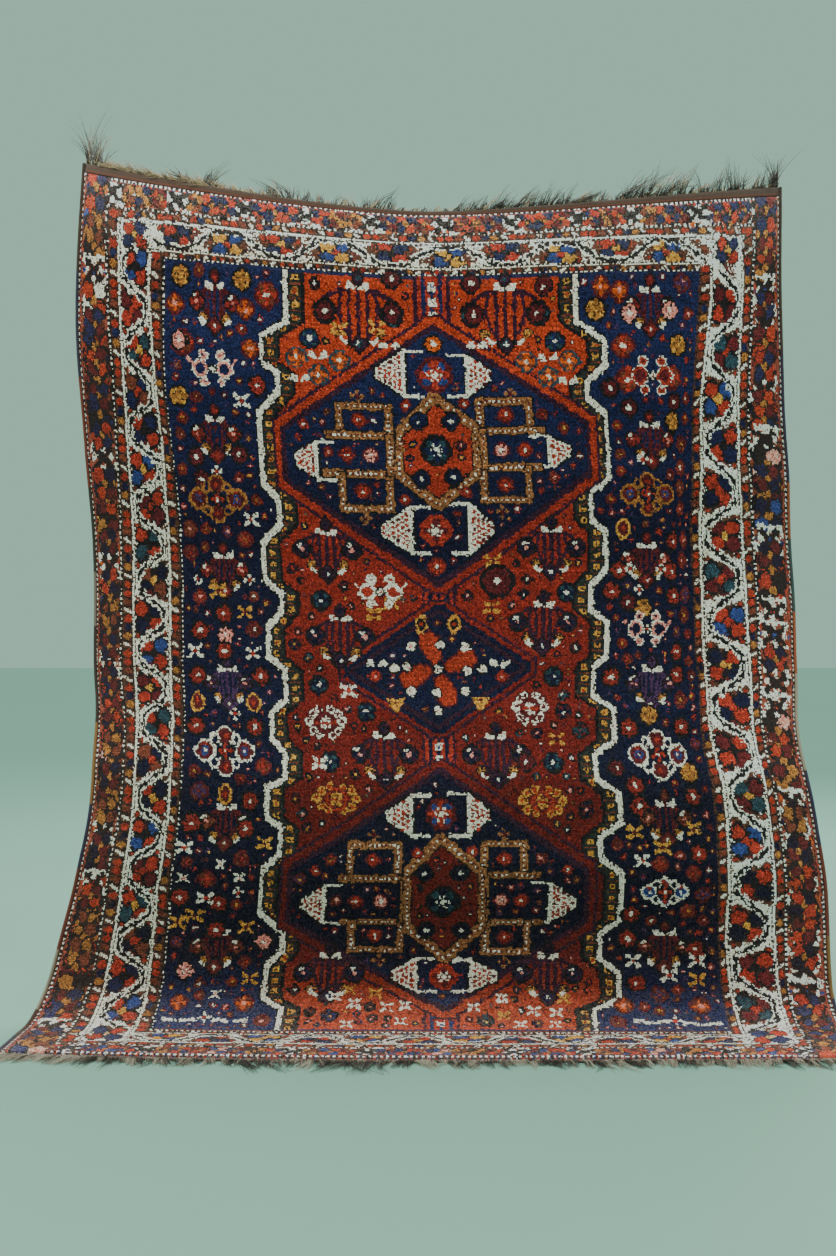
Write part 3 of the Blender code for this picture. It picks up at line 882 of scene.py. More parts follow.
def drawBorder(side):
    box, dab, stroke = borderPainter(side)
    ends = side in ("top", "foot")
    depths = borderDepths["end" if ends else "side"]
    length = designWide if ends else designTall
    knot = 1 / perUnit

    def mitred(depth):
        # where a stripe of this depth starts and stops, so that the corners join
        start = max(4 + (depth - 4) * (1.6 if ends else 1 / 1.6), 0)
        return start, length - start

    def row(near, far, colours, size, start):
        for index, s in enumerate(np.arange(*start, size)):
            box(s, near, s + size, far, colours[index % len(colours)])

    grounds = {"outer": "madderBrown", "white": "ivory", "minorOut": "brown", "minorIn": "brown"}
    for name, (near, far) in depths.items():
        box(mitred(near)[0], near, mitred(near)[1], far, grounds.get(name, "black"))
    dots = ("ivory", "ivory", "black", "black")
    for name in ("dotsOut", "dotsIn"):
        near, far = depths[name]
        middle = round((near + far) / 2 / knot) * knot
        row(middle - knot, middle + knot, dots, knot, mitred(near))
    minorYarns = ("madder", "rust", "ivory", "madder", "navy", "gold", "ivory", "scarlet")
    for name in ("minorOut", "minorIn"):
        near, far = depths[name]
        low, high = mitred(near)
        for index, s in enumerate(np.arange(low + 2, high - 2, 4.6)):
            yarn = minorYarns[index % len(minorYarns)]
            if yarn == "ivory":
                stroke([(s - 0.9, near + 1.5), (s + 0.9, far - 1.5)], 1.3, yarn)
            else:
                dab(s, (near + far) / 2, (far - near) * 0.34, yarn, 1.0 if not ends else 1.5)
            stroke([(s + 1.8, near + 0.6), (s + 3.0, far - 0.6)], 0.9, "black")
    near, far = depths["outer"]
    half, middle = (far - near) / 2, (near + far) / 2 + 0.8
    reached = -99.0
    dabYarns = ("ivory" if ends else "brown", "wine", "black", "scarlet", "brown", "orange", "navy")
    for s in np.arange(6, length - 6, 2.3):
        dab(s, middle + half * 0.8 * math.sin(s * 1.7), 1.8, dabYarns[int(s * 0.7) % 7])
    blots = sorted((s, first, second) for first, second, places in outerBlots[side] for s in places)
    pairs = (("wine", "navy"), ("navy", "madder"), ("rust", "gold"), ("scarlet", "wine"))
    for s, first, second in blots:
        if first == "ivory":
            drawHook(dab, stroke, s, middle, half, second)
        else:
            drawBlot(dab, s, middle, half, first, second)
        if s - reached > 13:
            drawBlot(dab, (s + reached) / 2, middle, half * 0.78, *pairs[int(s) % 4])
        reached = s
    edge = {"top": knot * 4, "foot": knot * 5}.get(side, knot)
    row(edge, edge + knot * 2, dots, knot, mitred(1))
    row(edge + knot * 2, edge + knot * 3, ("brown", "madder", "navy"), knot * 2, mitred(2))
    near, far = depths["white"]
    drawMeander(dab, stroke, *meanders[side], mitred(far)[0] + 2, mitred(far)[1] - 2, near, far)
    edging = 1.2
    for edge in (near, far - edging):
        box(mitred(near)[0], edge, mitred(near)[1], edge + edging, "ivory")
    row(near - knot, near, ("black", "brown"), knot, mitred(near))
    for edge in (near + edging, far - edging - knot):
        row(edge, edge + knot, ("black", "black", "ivory", "brown"), knot, mitred(near))


def drawDesign():
    numbers = np.random.default_rng(7)
    fill(0, 0, designWide, designTall, "rust")
    for side in ("top", "foot", "left", "right"):
        drawBorder(side)
    for col in (41.5, designWide - 41.5):
        for row, tall, first, second in (
            (27.5, 0.8, "madder", "navy"), (designTall - 31, 1.3, "navy", "madder"),
        ):
            for dx, dy, yarn in crosswise(first, second):
                spots(col + dx * 4.2, row + dy * 3.8 * tall, [(4.2, "black"), (3.3, yarn)], tall)
            spot(col, row, 1.8, "ochre")
    drawField()
    for top, foot, middle in ((38, 62, 200), (194, 212, 198), (270, 296, 198), (422, 439, 201)):
        drawStem(top, foot, middle)
    for plan in medallions:
        drawMedallion(plan)
    drawSmallDiamond()
    for wood, bloom, tall, spread, places in fieldTrees:
        for col, row in places:
            tree(col, row, wood, bloom, tall, spread)
    for draw, settings, places in fieldMotifs:
        for col, row in places:
            draw(col, row, *settings)
    fillBareGround(numbers)


# how the borders wander: for a row, the column of the outer dots, the white border's two lines and the field
wander = {
    "left": {
        "outerDots": [
            (20, 20), (60, 23), (90, 25), (150, 23), (170, 21), (250, 18), (290, 20), (350, 18), (400, 22),
            (480, 22),
        ],
        "whiteOut": [(0, 30), (30, 29), (80, 32), (150, 31), (200, 28), (350, 27), (420, 30), (480, 30)],
        "whiteIn": [
            (0, 51), (50, 49), (90, 52), (130, 54), (200, 52), (300, 49.5), (360, 48), (420, 53), (480, 53),
        ],
        "field": [
            (0, 60), (40, 60), (100, 59), (150, 62), (200, 61), (250, 60), (300, 57), (350, 56), (400, 60),
            (440, 62), (480, 61),
        ],
    },
    "right": {
        "outerDots": [
            (25, 380), (50, 378), (100, 373), (130, 371), (180, 373), (220, 375), (290, 378), (380, 377),
            (480, 378),
        ],
        "whiteOut": [
            (45, 372), (80, 368), (135, 364), (200, 367), (240, 370), (290, 373), (375, 371), (430, 374),
            (480, 371),
        ],
        "whiteIn": [
            (50, 351), (100, 342), (165, 338), (220, 340), (280, 346), (300, 348), (380, 345), (430, 349),
            (480, 348),
        ],
        "field": [
            (40, 341), (90, 336), (120, 333), (165, 330), (230, 334), (250, 337), (300, 339), (350, 338),
            (430, 342), (480, 340),
        ],
    },
}
straight = [0, 23, 30.5, 52.5, 60.5, 78, 322, 339.5, 347.5, 369.5, 377, 400]  # the same columns as drawn
weaving = {
    "topRise": 3.5,  # how much higher the top border lies in its middle
    "slips": 0.30,  # the share of the field's blocks of knots that slip by one
    "strays": 0.06,  # the share of knots that stray to each neighbour
    "dimmed": 0.06,  # the share of ivory knots that are brown
}


def wornChart():
    # the design as it was really woven: its borders wander and single knots stray
    numbers = np.random.default_rng(11)
    rows, cols = middles(knotRows), middles(knotCols)
    real = np.zeros((knotRows, len(straight)))
    real[:] = straight
    for side, columns in (("left", (1, 2, 3, 4)), ("right", (10, 9, 8, 7))):
        for column, name in zip(columns, ("outerDots", "whiteOut", "whiteIn", "field")):
            places = np.array(wander[side][name], float)
            real[:, column] = np.interp(rows, places[:, 0], places[:, 1])
    rise = weaving["topRise"] * np.clip(1 - (abs(cols - 200) / 170) ** 2, 0, 1)
    woven = np.zeros_like(chart)
    slips = numbers.integers(-1, 2, (2, knotRows // 3, knotCols // 3))
    rare = numbers.random(slips.shape) < weaving["slips"]
    slips, rare = (np.repeat(np.repeat(blocks, 3, axis=1), 3, axis=2) for blocks in (slips, rare))
    for index, row in enumerate(rows):
        source = np.interp(cols, real[index], straight)
        lower = row + rise * np.interp(row, [0, 8, 20, 38, 60], [0, 0.4, 1, 1, 0])
        depth = np.minimum(source, designWide - source)
        endDepth = np.minimum(lower, designTall - lower)
        inSide = ((depth > 3.4) & (depth < 21.2)) | ((depth > 33.0) & (depth < 50.5))
        inEnd = ((endDepth > 6.0) & (endDepth < 13.6)) | ((endDepth > 22.0) & (endDepth < 33.5))
        inField = (depth > 62) & (endDepth > 41)
        uneven = (inSide & (endDepth > 6.0)) | (inEnd & (depth > 3.4)) | (inField & rare[:, index])
        right, down = slips[:, index] * uneven
        column = (source * perUnit + right).astype(int).clip(0, knotCols - 1)
        woven[index] = chart[(lower * perUnit + down).astype(int).clip(0, knotRows - 1), column]
    for step in (1, -1):
        for axis in (0, 1):
            stray = numbers.random(chart.shape) < weaving["strays"]
            woven[stray] = np.roll(woven, step, axis=axis)[stray]
    dimmed = numbers.random(woven.shape) < weaving["dimmed"]
    woven[(woven == yarnNumber["ivory"]) & dimmed] = yarnNumber["brown"]
    return woven


# down the rug: unit row, and the linear colours of the red ground and the navy there, with the uneven dye
# lots and with painted shade and light: darker from row 170 to 410, most from 340 to 396, where the lower
# part hangs in shade, and lighter at the top and the foot, where more light falls
abrashAndShade = [
    (0, (0.40, 0.040, 0.014), (0.012, 0.016, 0.055)),
    (60, (0.40, 0.041, 0.014), (0.013, 0.018, 0.068)),
    (110, (0.36, 0.035, 0.015), (0.009, 0.013, 0.052)),
    (170, (0.275, 0.023, 0.013), (0.006, 0.007, 0.026)),
    (250, (0.185, 0.015, 0.011), (0.006, 0.009, 0.034)),
    (340, (0.115, 0.011, 0.009), (0.005, 0.006, 0.021)),
    (396, (0.132, 0.014, 0.012), (0.005, 0.006, 0.019)),
    (412, (0.29, 0.034, 0.016), (0.011, 0.014, 0.052)),
    (425, (0.37, 0.050, 0.022), (0.015, 0.021, 0.074)),
    (480, (0.40, 0.048, 0.018), (0.016, 0.024, 0.090)),
]


wearAndLight = {  # down the rug, across it, and in from its sides: painted light, painted sheen with real wear, and a dull brown towards the sides
    "rows": (0, 18, 40, 408, 440, 480),
    # painted light: the knots are lighter at the top and the foot, where more light falls
    "paintedLight": (2.15, 1.7, 1.0, 1.0, 1.25, 1.85),
    # painted sheen with real wear: at both ends the knots are mixed towards a pale colour, for the pale sheen
    # of the pile there and for dust and wear
    "sheenAndWear": (0.34, 0.22, 0.0, 0.06, 0.28, 0.42),
    # brighter towards both side edges; towards the right one this is painted light, as more light falls on
    # that side
    "brighterSides": ((0, 20, 60, 335, 350, 400), (1.45, 1.15, 0.96, 1.0, 1.30, 1.60)),
    # towards both side edges the knots are mixed towards a dull brown, most in the outer border
    "dulledSides": ((0, 22, 25, 56, 64), (0.13, 0.13, 0.03, 0.03, 0.0)),
    "dullBrown": (0.155, 0.082, 0.062),
    # the pale colour of the painted sheen and of the wear
    "bare": (0.42, 0.36, 0.30),
}
dyeing = {  # how much the tone differs between dye lots, rows and knots, and the share of dark knots
    "lots": 49,
    "lotSpread": 0.09,
    "rowSpread": 0.07,
    "knotSpread": 0.34,
    "darkShare": 0.14,
    "darkTone": 0.45,
    "otherTone": 1.06,
}


def knotColours():
    # one linear colour for each knot, with the uneven dye lots and the small differences of hand-spun wool,
    # and with painted light, shade and sheen that make it lighter at the ends and the right edge and darker
    # in the lower hanging part
    numbers = np.random.default_rng(23)
    woven = wornChart()
    dyed = np.array(list(yarns.values()), float)[woven]
    rows, cols = middles(knotRows), middles(knotCols)
    stops, reds, blues = zip(*abrashAndShade)
    # the red ground and the navy take their row's colour from the table: dye lots with painted shade and
    # light
    for yarn, tones in (("ground", reds), ("navy", blues)):
        lot = np.stack([np.interp(rows, stops, channel) for channel in zip(*tones)], axis=-1)
        dyed[woven == yarnNumber[yarn]] = np.broadcast_to(lot[:, None], dyed.shape)[woven == yarnNumber[yarn]]
    lots = dyeing["lots"]
    tones = numbers.normal(0, dyeing["lotSpread"], lots)
    lot = np.exp(np.interp(rows, np.linspace(0, designTall, lots), tones))
    lot = lot * np.exp(numbers.normal(0, dyeing["rowSpread"], knotRows))
    tint = np.exp(numbers.normal(0, dyeing["knotSpread"], woven.shape)) * lot[:, None]
    dark = numbers.random(woven.shape) < dyeing["darkShare"]
    tint *= np.where(dark, dyeing["darkTone"], dyeing["otherTone"])
    tint = np.where(woven == yarnNumber["ivory"], tint**0.55 * 1.05, tint)
    # painted light: lighter towards the top and the foot, where more light falls
    paintedLight = np.interp(rows, wearAndLight["rows"], wearAndLight["paintedLight"])
    # brighter towards both side edges, on the right as painted light
    brighterSides = np.interp(cols, *wearAndLight["brighterSides"])
    dyed = dyed * tint[..., None] * (paintedLight[:, None] * brighterSides)[..., None]
    # painted sheen with real wear: towards both ends the knots are mixed towards a pale colour; elsewhere
    # only a little wear
    sheenAndWearShare = np.interp(rows, wearAndLight["rows"], wearAndLight["sheenAndWear"])
    worn = (0.005 + sheenAndWearShare[:, None]) * numbers.random(woven.shape) ** 1.5
    # towards both side edges, mixed towards a dull brown
    dulledSides = np.interp(np.minimum(cols, designWide - cols), *wearAndLight["dulledSides"])
    dyed = dyed + (np.array(wearAndLight["dullBrown"]) - dyed) * dulledSides[:, None]
    return (dyed + (np.array(wearAndLight["bare"]) - dyed) * worn[..., None]).clip(0, 0.95)


drawDesign()
print("design drawn")


class Shade:
    # one socket of a material; sums written with it add the Math nodes they need

    def __init__(self, finish, socket):
        self.finish = finish
        self.socket = socket

    def maths(self, operation, *values):
        return self.finish.add("ShaderNodeMath", {"operation": operation}, dict(enumerate(values)))

    def __add__(self, other):
        return self.maths("ADD", self, other)

    def __radd__(self, other):
        return self.maths("ADD", other, self)

    def __rsub__(self, other):
        return self.maths("SUBTRACT", other, self)

    def __mul__(self, other):
        return self.maths("MULTIPLY", self, other)

    def __rmul__(self, other):
        return self.maths("MULTIPLY", other, self)

    def __gt__(self, other):
        return self.maths("GREATER_THAN", self, other)


class Finish:
    # a material with one Principled shader, and the one way that nodes are added to it

    def __init__(self, name, **constants):
        self.material = bpy.data.materials.new(name)
        self.material.use_nodes = True
        self.tree = self.material.node_tree
        self.shader = self.tree.nodes["Principled BSDF"]
        for socket, value in constants.items():
            self.shader.inputs[socket.replace("_", " ")].default_value = value

    def add(self, kind, settings=None, values=None, out=0):
        node = self.tree.nodes.new(kind)
        for key, value in (settings or {}).items():
            setattr(node, key, value)
        for key, value in (values or {}).items():
            if isinstance(value, Shade):
                self.tree.links.new(value.socket, node.inputs[key])
            else:
                node.inputs[key].default_value = value
        return Shade(self, node.outputs[out])

    def mix(self, factor, first, second, blend="MIX"):
        settings = {"data_type": "RGBA", "blend_type": blend}
        return self.add("ShaderNodeMix", settings, {0: factor, 6: first, 7: second}, out=2)

    def shaded(self, colour, share, dark, light):
        # the colour times a grey that runs from dark to light
        greys = [(value, value, value, 1) for value in (dark, light)]
        return self.mix(1.0, colour, self.mix(share, *greys), "MULTIPLY")

    def noise(self, scale, detail, roughness=0.5):
        place = self.add("ShaderNodeTexCoord", out=3)
        values = {"Vector": place, "Scale": scale, "Detail": detail, "Roughness": roughness}
        return self.add("ShaderNodeTexNoise", {}, values)

    def dyed(self, name):
        return self.add("ShaderNodeAttribute", {"attribute_name": name})

    def weave(self):
        # the place on the cloth, as a share of its width and one of its length
        place = self.add("ShaderNodeUVMap", {"uv_map": "weave"})
        return [self.add("ShaderNodeSeparateXYZ", {}, {0: place}, out=index) for index in (0, 1)]

    def feed(self, **links):
        for socket, shade in links.items():
            self.tree.links.new(shade.socket, self.shader.inputs[socket.replace("_", " ")])

    def bump(self, height, distance, strength):
        return self.add("ShaderNodeBump", {}, {"Height": height, "Distance": distance, "Strength": strength})


def knotNodes(finish):
    # the colour of the knot under a point, and the point's place inside its knot
    across, down = (
        fraction(share * pile[count]) for share, count in zip(finish.weave(), ("columns", "rows"))
    )

    def third(place, first, second, last):
        return finish.mix(place > 2 / 3, finish.mix(place > 1 / 3, first, second), last)

    rows = [third(across, *(finish.dyed(f"knot{row}{column}") for column in range(3))) for row in range(3)]
    colour = third(down, *rows)
    return colour, fraction(across * 3), fraction(down * 3)


def fraction(shade):
    return shade.maths("FRACT", shade)


def hump(share):
    # 0 at both ends of a share and 1 in its middle
    return 4 * share * (1 - share)


pile = {  # its faces hold three knots by three
    "columns": 200,
    "rows": 237,
    "edgeThick": 0.0065,  # the pile is shorter along its edges
    "swell": 0.000385,  # how far the long waves and the single knots stand out or in
    "jitter": 0.000275,
    "lowest": -0.001,
    "highest": 0.0012,
    "waves": 14,
    "longestWave": 0.30,
    "shortestWave": 0.03,
}
flatSize = (1.55, 1.86)  # the whole cloth laid flat
rowsUnderBand = 4  # rows of the design that the top band takes


def makePileFinish():
    finish = Finish("pile wool", Roughness=0.9, Specular_IOR_Level=0.08)
    colour, across, down = knotNodes(finish)
    fibre = finish.noise(900, 3, 0.7)
    tuft = finish.noise(330, 2)
    worn = finish.noise(7, 4, 0.6)
    colour = finish.shaded(colour, fibre, 0.50, 1.50)
    colour = finish.mix(worn * 0.004, colour, (0.30, 0.25, 0.21, 1))
    # painted shade: each knot's colour is darker towards its edges, where the tufts meet, and lighter on its
    # crown
    crown = hump(across) * hump(down)
    colour = finish.shaded(colour, crown, 0.60, 1.15)
    height = crown * 0.5 + tuft * 0.8 + fibre * 0.45
    finish.feed(Base_Color=colour, Normal=finish.bump(height, 0.0022, 0.9), Roughness=0.86 + fibre * 0.14)
    return finish.material


def makeBackFinish():
    finish = Finish("woven back", Roughness=0.9, Specular_IOR_Level=0.2)
    colour, across, down = knotNodes(finish)
    fibre = finish.noise(1400, 2)
    nodes = hump(fraction(across * 2))
    weft = hump(down)
    colour = finish.shaded(colour, fibre, 0.60, 1.05)
    colour = finish.mix(weft > 0.34, (0.055, 0.032, 0.022, 1), colour)
    height = nodes * weft + fibre * 0.25
    finish.feed(Base_Color=colour, Normal=finish.bump(height, 0.0012, 0.9))
    return finish.material


def newPiece(name, bm, *materials):
    bmesh.ops.recalc_face_normals(bm, faces=bm.faces[:])
    mesh = bpy.data.meshes.new(name)
    bm.to_mesh(mesh)
    bm.free()
    piece = putInScene(name, mesh)
    for material in materials:
        mesh.materials.append(material)
    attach(piece, "root")
    return piece


def writeColours(piece, name, domain, colours):
    layer = piece.data.attributes.new(name, "FLOAT_COLOR", domain)
    rgba = np.concatenate([colours, np.ones((len(colours), 1))], axis=1)
    layer.data.foreach_set("color", rgba.astype(np.float32).ravel())


def gridSheet(plan, start, end):
    # a closed sheet between two lines across the cloth, and for each corner its column, its row,
    # whether it is on the front, and its place on the cloth
    columns, rows = plan["columns"], plan["rows"]
    bm = bmesh.new()
    bmesh.ops.create_grid(bm, x_segments=columns, y_segments=rows, size=1)
    bm.verts.ensure_lookup_table()
    backCount = len(bm.verts)
    bmesh.ops.extrude_face_region(bm, geom=bm.faces[:], use_keep_orig=True)
    bm.verts.ensure_lookup_table()
    places = np.array([vert.co[:2] for vert in bm.verts])
    column = np.rint((places[:, 0] + 1) / 2 * columns).astype(int)
    row = np.rint((1 - places[:, 1]) / 2 * rows).astype(int)
    front = np.arange(len(places)) >= backCount
    uvLayer = bm.loops.layers.uv.new("weave")
    for face in bm.faces:
        face.smooth = True
        for corner in face.loops:
            corner[uvLayer].uv = (column[corner.vert.index] / columns, row[corner.vert.index] / rows)
    across, share = -1 + 2 * column / columns, row / rows
    return bm, column, row, front, across, start(across) + (end(across) - start(across)) * share


def setPoints(bm, points):
    for vert, point in zip(bm.verts, points):
        vert.co = point


def wave(x, y, numbers):
    # a smooth uneven surface, from waves that run in different directions
    total = np.zeros_like(x)
    waves, longest, shortest = pile["waves"], pile["longestWave"], pile["shortestWave"]
    for index in range(waves):
        length = longest * (shortest / longest) ** (index / (waves - 1))
        angle, phase = numbers.random() * math.pi, numbers.random() * math.tau
        place = x * math.cos(angle) + y * math.sin(angle)
        total += np.sin(place * math.tau / length + phase) * (length / longest) ** 0.6
    return total / math.sqrt(waves)


def makePile():
    bm, column, row, front, across, alongCloth = gridSheet(pile, pileStart, pileEnd)
    numbers = np.random.default_rng(5)
    columns, rows = pile["columns"], pile["rows"]
    edge = np.minimum(np.minimum(column, columns - column), np.minimum(row, rows - row)) == 0
    thick = np.where(edge, pile["edgeThick"], cloth["pileThick"])
    uneven = wave(across * flatSize[0] / 2, alongCloth * flatSize[1], numbers) * pile["swell"]
    uneven = uneven + numbers.normal(0, pile["jitter"], len(row))
    lift = np.where(front, thick + np.where(edge, 0, uneven.clip(pile["lowest"], pile["highest"])), 0.0)
    setPoints(bm, onCloth(across, alongCloth, lift))
    for face in bm.faces:
        face.material_index = 0 if any(front[vert.index] for vert in face.verts) else 1
    faceCols, faceRows = (
        np.array([min(places[vert.index] for vert in face.verts) for face in bm.faces]).clip(0, count - 1)
        for places, count in ((column, columns), (row, rows))
    )
    piece = newPiece("pile", bm, makePileFinish(), makeBackFinish())
    colours = knotColours()
    for down in range(3):
        for right in range(3):
            knots = colours[(rowsUnderBand + faceRows * 3 + down).clip(0, knotRows - 1), faceCols * 3 + right]
            writeColours(piece, f"knot{down}{right}", "FACE", knots)
    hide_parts("rug")
    return piece


pilePiece = makePile()
print("pile knotted")

# the flat-woven end bands
band = {"columns": 400, "rows": 4, "colour": (0.085, 0.043, 0.029, 1), "stripe": (0.22, 0.052, 0.030, 1)}


def makeBandFinish():
    finish = Finish("flat-woven wool", Roughness=0.9, Specular_IOR_Level=0.2, Sheen_Weight=0.2)
    across, down = finish.weave()
    rib = hump(fraction(across * 520))
    pick = hump(fraction(down * 9))
    fibre = finish.noise(1100, 3)
    patch = finish.noise(22, 3)
    stripe = finish.add("ShaderNodeMath", {"operation": "COMPARE"}, {0: down, 1: 0.72, 2: 0.12})
    colour = finish.mix(stripe * 0.8, band["colour"], band["stripe"])
    colour = finish.mix(patch * 0.4, colour, (0.16, 0.095, 0.060, 1))
    colour = finish.shaded(colour, fibre, 0.5, 1.4)
    # painted shade and highlight: darker in the grooves between ribs and picks, lighter on their crests
    colour = finish.shaded(colour, rib * pick, 0.55, 1.25)
    height = rib * 0.6 + pick * 0.5 + fibre * 0.3
    finish.feed(Base_Color=colour, Normal=finish.bump(height, 0.0012, 0.9))
    return finish.material


def makeBand(name, node, start, end, seed):
    bm, _, row, front, across, alongCloth = gridSheet(band, start, end)
    edge = np.minimum(row, band["rows"] - row) == 0
    uneven = np.random.default_rng(seed).normal(0, 0.00015, len(row))
    lift = np.where(front, cloth["bandThick"] * np.where(edge, 0.7, 1.0) + uneven, 0.0)
    setPoints(bm, onCloth(across, alongCloth, lift))
    piece = newPiece(name, bm, bandFinish)
    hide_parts(node)
    return piece


def topBandEnd(across):
    return shareOfLength(topBandWidth(across), across)


def footBandStart(across):
    return 1 - shareOfLength(cloth["bandWidth"]["front"], across)


bandFinish = makeBandFinish()
topBand = makeBand("top_band", "top_fringe", np.zeros_like, topBandEnd, 31)
footBand = makeBand("foot_band", "bottom_fringe", footBandStart, np.ones_like, 32)
print("bands woven")


def makeHairFinish(name):
    finish = Finish(name, Roughness=0.62, Specular_IOR_Level=0.35, Sheen_Weight=0.15)
    finish.feed(Base_Color=finish.shaded(finish.dyed("dye"), finish.noise(500, 2), 0.6, 1.3))
    return finish.material


def growHairs(name, centres, radii, tones, material):
    # centres holds each hair's points from root to tip; every hair is a three-sided taper
    count, levels = centres.shape[:2]
    heading = unit(centres[:, -1] - centres[:, 0])
    first = unit(np.cross(heading, (0.31, 0.87, 0.38)))
    second = np.cross(heading, first)
    angles = np.arange(3) * math.tau / 3
    rim = np.cos(angles)[None, :, None] * first[:, None] + np.sin(angles)[None, :, None] * second[:, None]
    points = centres[:, :, None] + rim[:, None] * radii[:, :, None, None]
    bm = bmesh.new()
    bmesh.ops.create_grid(bm, x_segments=(count + 1) // 2, y_segments=1, size=1)
    bmesh.ops.triangulate(bm, faces=bm.faces[:])
    bmesh.ops.split_edges(bm, edges=bm.edges[:])
    bm.faces.ensure_lookup_table()
    if len(bm.faces) > count:
        bmesh.ops.delete(bm, geom=bm.faces[count:], context="FACES")
    strand = bm.verts.layers.int.new("strand")
    turn = bm.verts.layers.int.new("turn")
    for index, face in enumerate(bm.faces):
        for corner, vert in enumerate(face.verts):
            vert[strand], vert[turn] = index, corner
            vert.co = points[index, 0, corner]
    drawn = bmesh.ops.extrude_face_region(bm, geom=bm.faces[:], use_keep_orig=True)["geom"]
    caps = [item for item in drawn if isinstance(item, bmesh.types.BMFace)]
    for level in range(1, levels):
        if level > 1:
            caps = bmesh.ops.extrude_discrete_faces(bm, faces=caps)["faces"]
        for face in caps:
            for vert in face.verts:
                vert.co = points[vert[strand], level, vert[turn]]
    owner = np.array([vert[strand] for vert in bm.verts])
    for face in bm.faces:
        face.smooth = True
    piece = newPiece(name, bm, material)
    writeColours(piece, "dye", "POINT", tones[owner])
    return piece


hairTones = {  # linear colours of the loose ends
    "dark": (0.020, 0.014, 0.011),
    "brown": (0.060, 0.036, 0.022),
    "grey": (0.14, 0.115, 0.09),
    "cream": (0.46, 0.40, 0.31),
    "straw": (0.44, 0.31, 0.17),
}

topFringe = {
    # across from and to, number of hairs, length, lean to the right, share of cream ones
    "tufts": [
        (-1.00, -0.985, 48, 0.095, -0.10, 0.02),
        (-0.975, -0.955, 36, 0.085, 0.12, 0.02),
        (-0.945, -0.925, 30, 0.075, -0.30, 0.05),
        (-0.93, -0.58, 540, 0.038, -0.85, 0.94),
        (-0.66, -0.63, 42, 0.048, -0.40, 0.10),
        (-0.60, -0.56, 48, 0.050, 0.35, 0.05),
        (-0.58, -0.42, 150, 0.024, -0.60, 0.80),
        (-0.42, -0.35, 66, 0.046, -0.50, 0.10),
        (-0.35, -0.30, 30, 0.026, 0.40, 0.20),
        (-0.30, -0.18, 60, 0.022, 0.20, 0.40),
        (-0.17, -0.09, 72, 0.042, 0.55, 0.10),
        (-0.08, 0.06, 60, 0.014, 0.20, 0.50),
        (0.06, 0.14, 78, 0.034, 0.65, 0.10),
        (0.14, 0.40, 300, 0.052, 0.70, 0.12),
        (0.38, 0.48, 66, 0.030, 0.30, 0.30),
        (0.48, 0.63, 190, 0.082, 0.62, 0.08),
        (0.63, 0.80, 140, 0.060, 0.35, 0.15),
        (0.81, 0.87, 72, 0.066, 0.25, 0.05),
        (0.90, 0.94, 42, 0.052, 0.40, 0.05),
        (0.965, 1.00, 84, 0.074, 0.05, 0.05),
        (-1.00, 1.00, 900, 0.012, 0.05, 0.45),
    ],
    "clump": 6,
    "radius": 0.00082,
    "pale": "straw",
}

footFringe = {
    "tufts": [
        (-1.00, -0.78, 560, 0.042, -0.45, 0.85),
        (-0.78, -0.72, 160, 0.052, -0.30, 0.05),
        (-0.72, -0.46, 440, 0.036, 0.20, 0.55),
        (-0.46, -0.38, 150, 0.060, 0.45, 0.05),
        (-0.38, -0.24, 220, 0.038, 0.10, 0.50),
        (-0.24, -0.06, 280, 0.062, -0.35, 0.25),
        (-0.06, 0.35, 520, 0.036, 0.15, 0.60),
        (0.35, 0.45, 190, 0.052, 0.45, 0.15),
        (0.45, 0.72, 460, 0.036, 0.20, 0.50),
        (0.72, 1.00, 460, 0.040, 0.30, 0.60),
        (-1.00, 1.00, 1100, 0.022, 0.00, 0.70),
    ],
    "clump": 12,
    "radius": 0.00065,
    "pale": "cream",
}


hairs = {  # how clumps of hairs differ, and how single hairs do
    "points": 6,
    "clumpAside": 0.9,
    "clumpLean": 0.22,
    "clumpLong": (0.35, 1.2),
    "clumpBend": 0.30,
    "aside": 0.004,
    "rootAt": (0.25, 0.7),
    "lean": 0.10,
    "long": (0.6, 1.08),
    "curl": 0.035,
    "thick": (0.6, 1.25),
    "taper": 0.78,
    "tone": (0.65, 1.3),
}


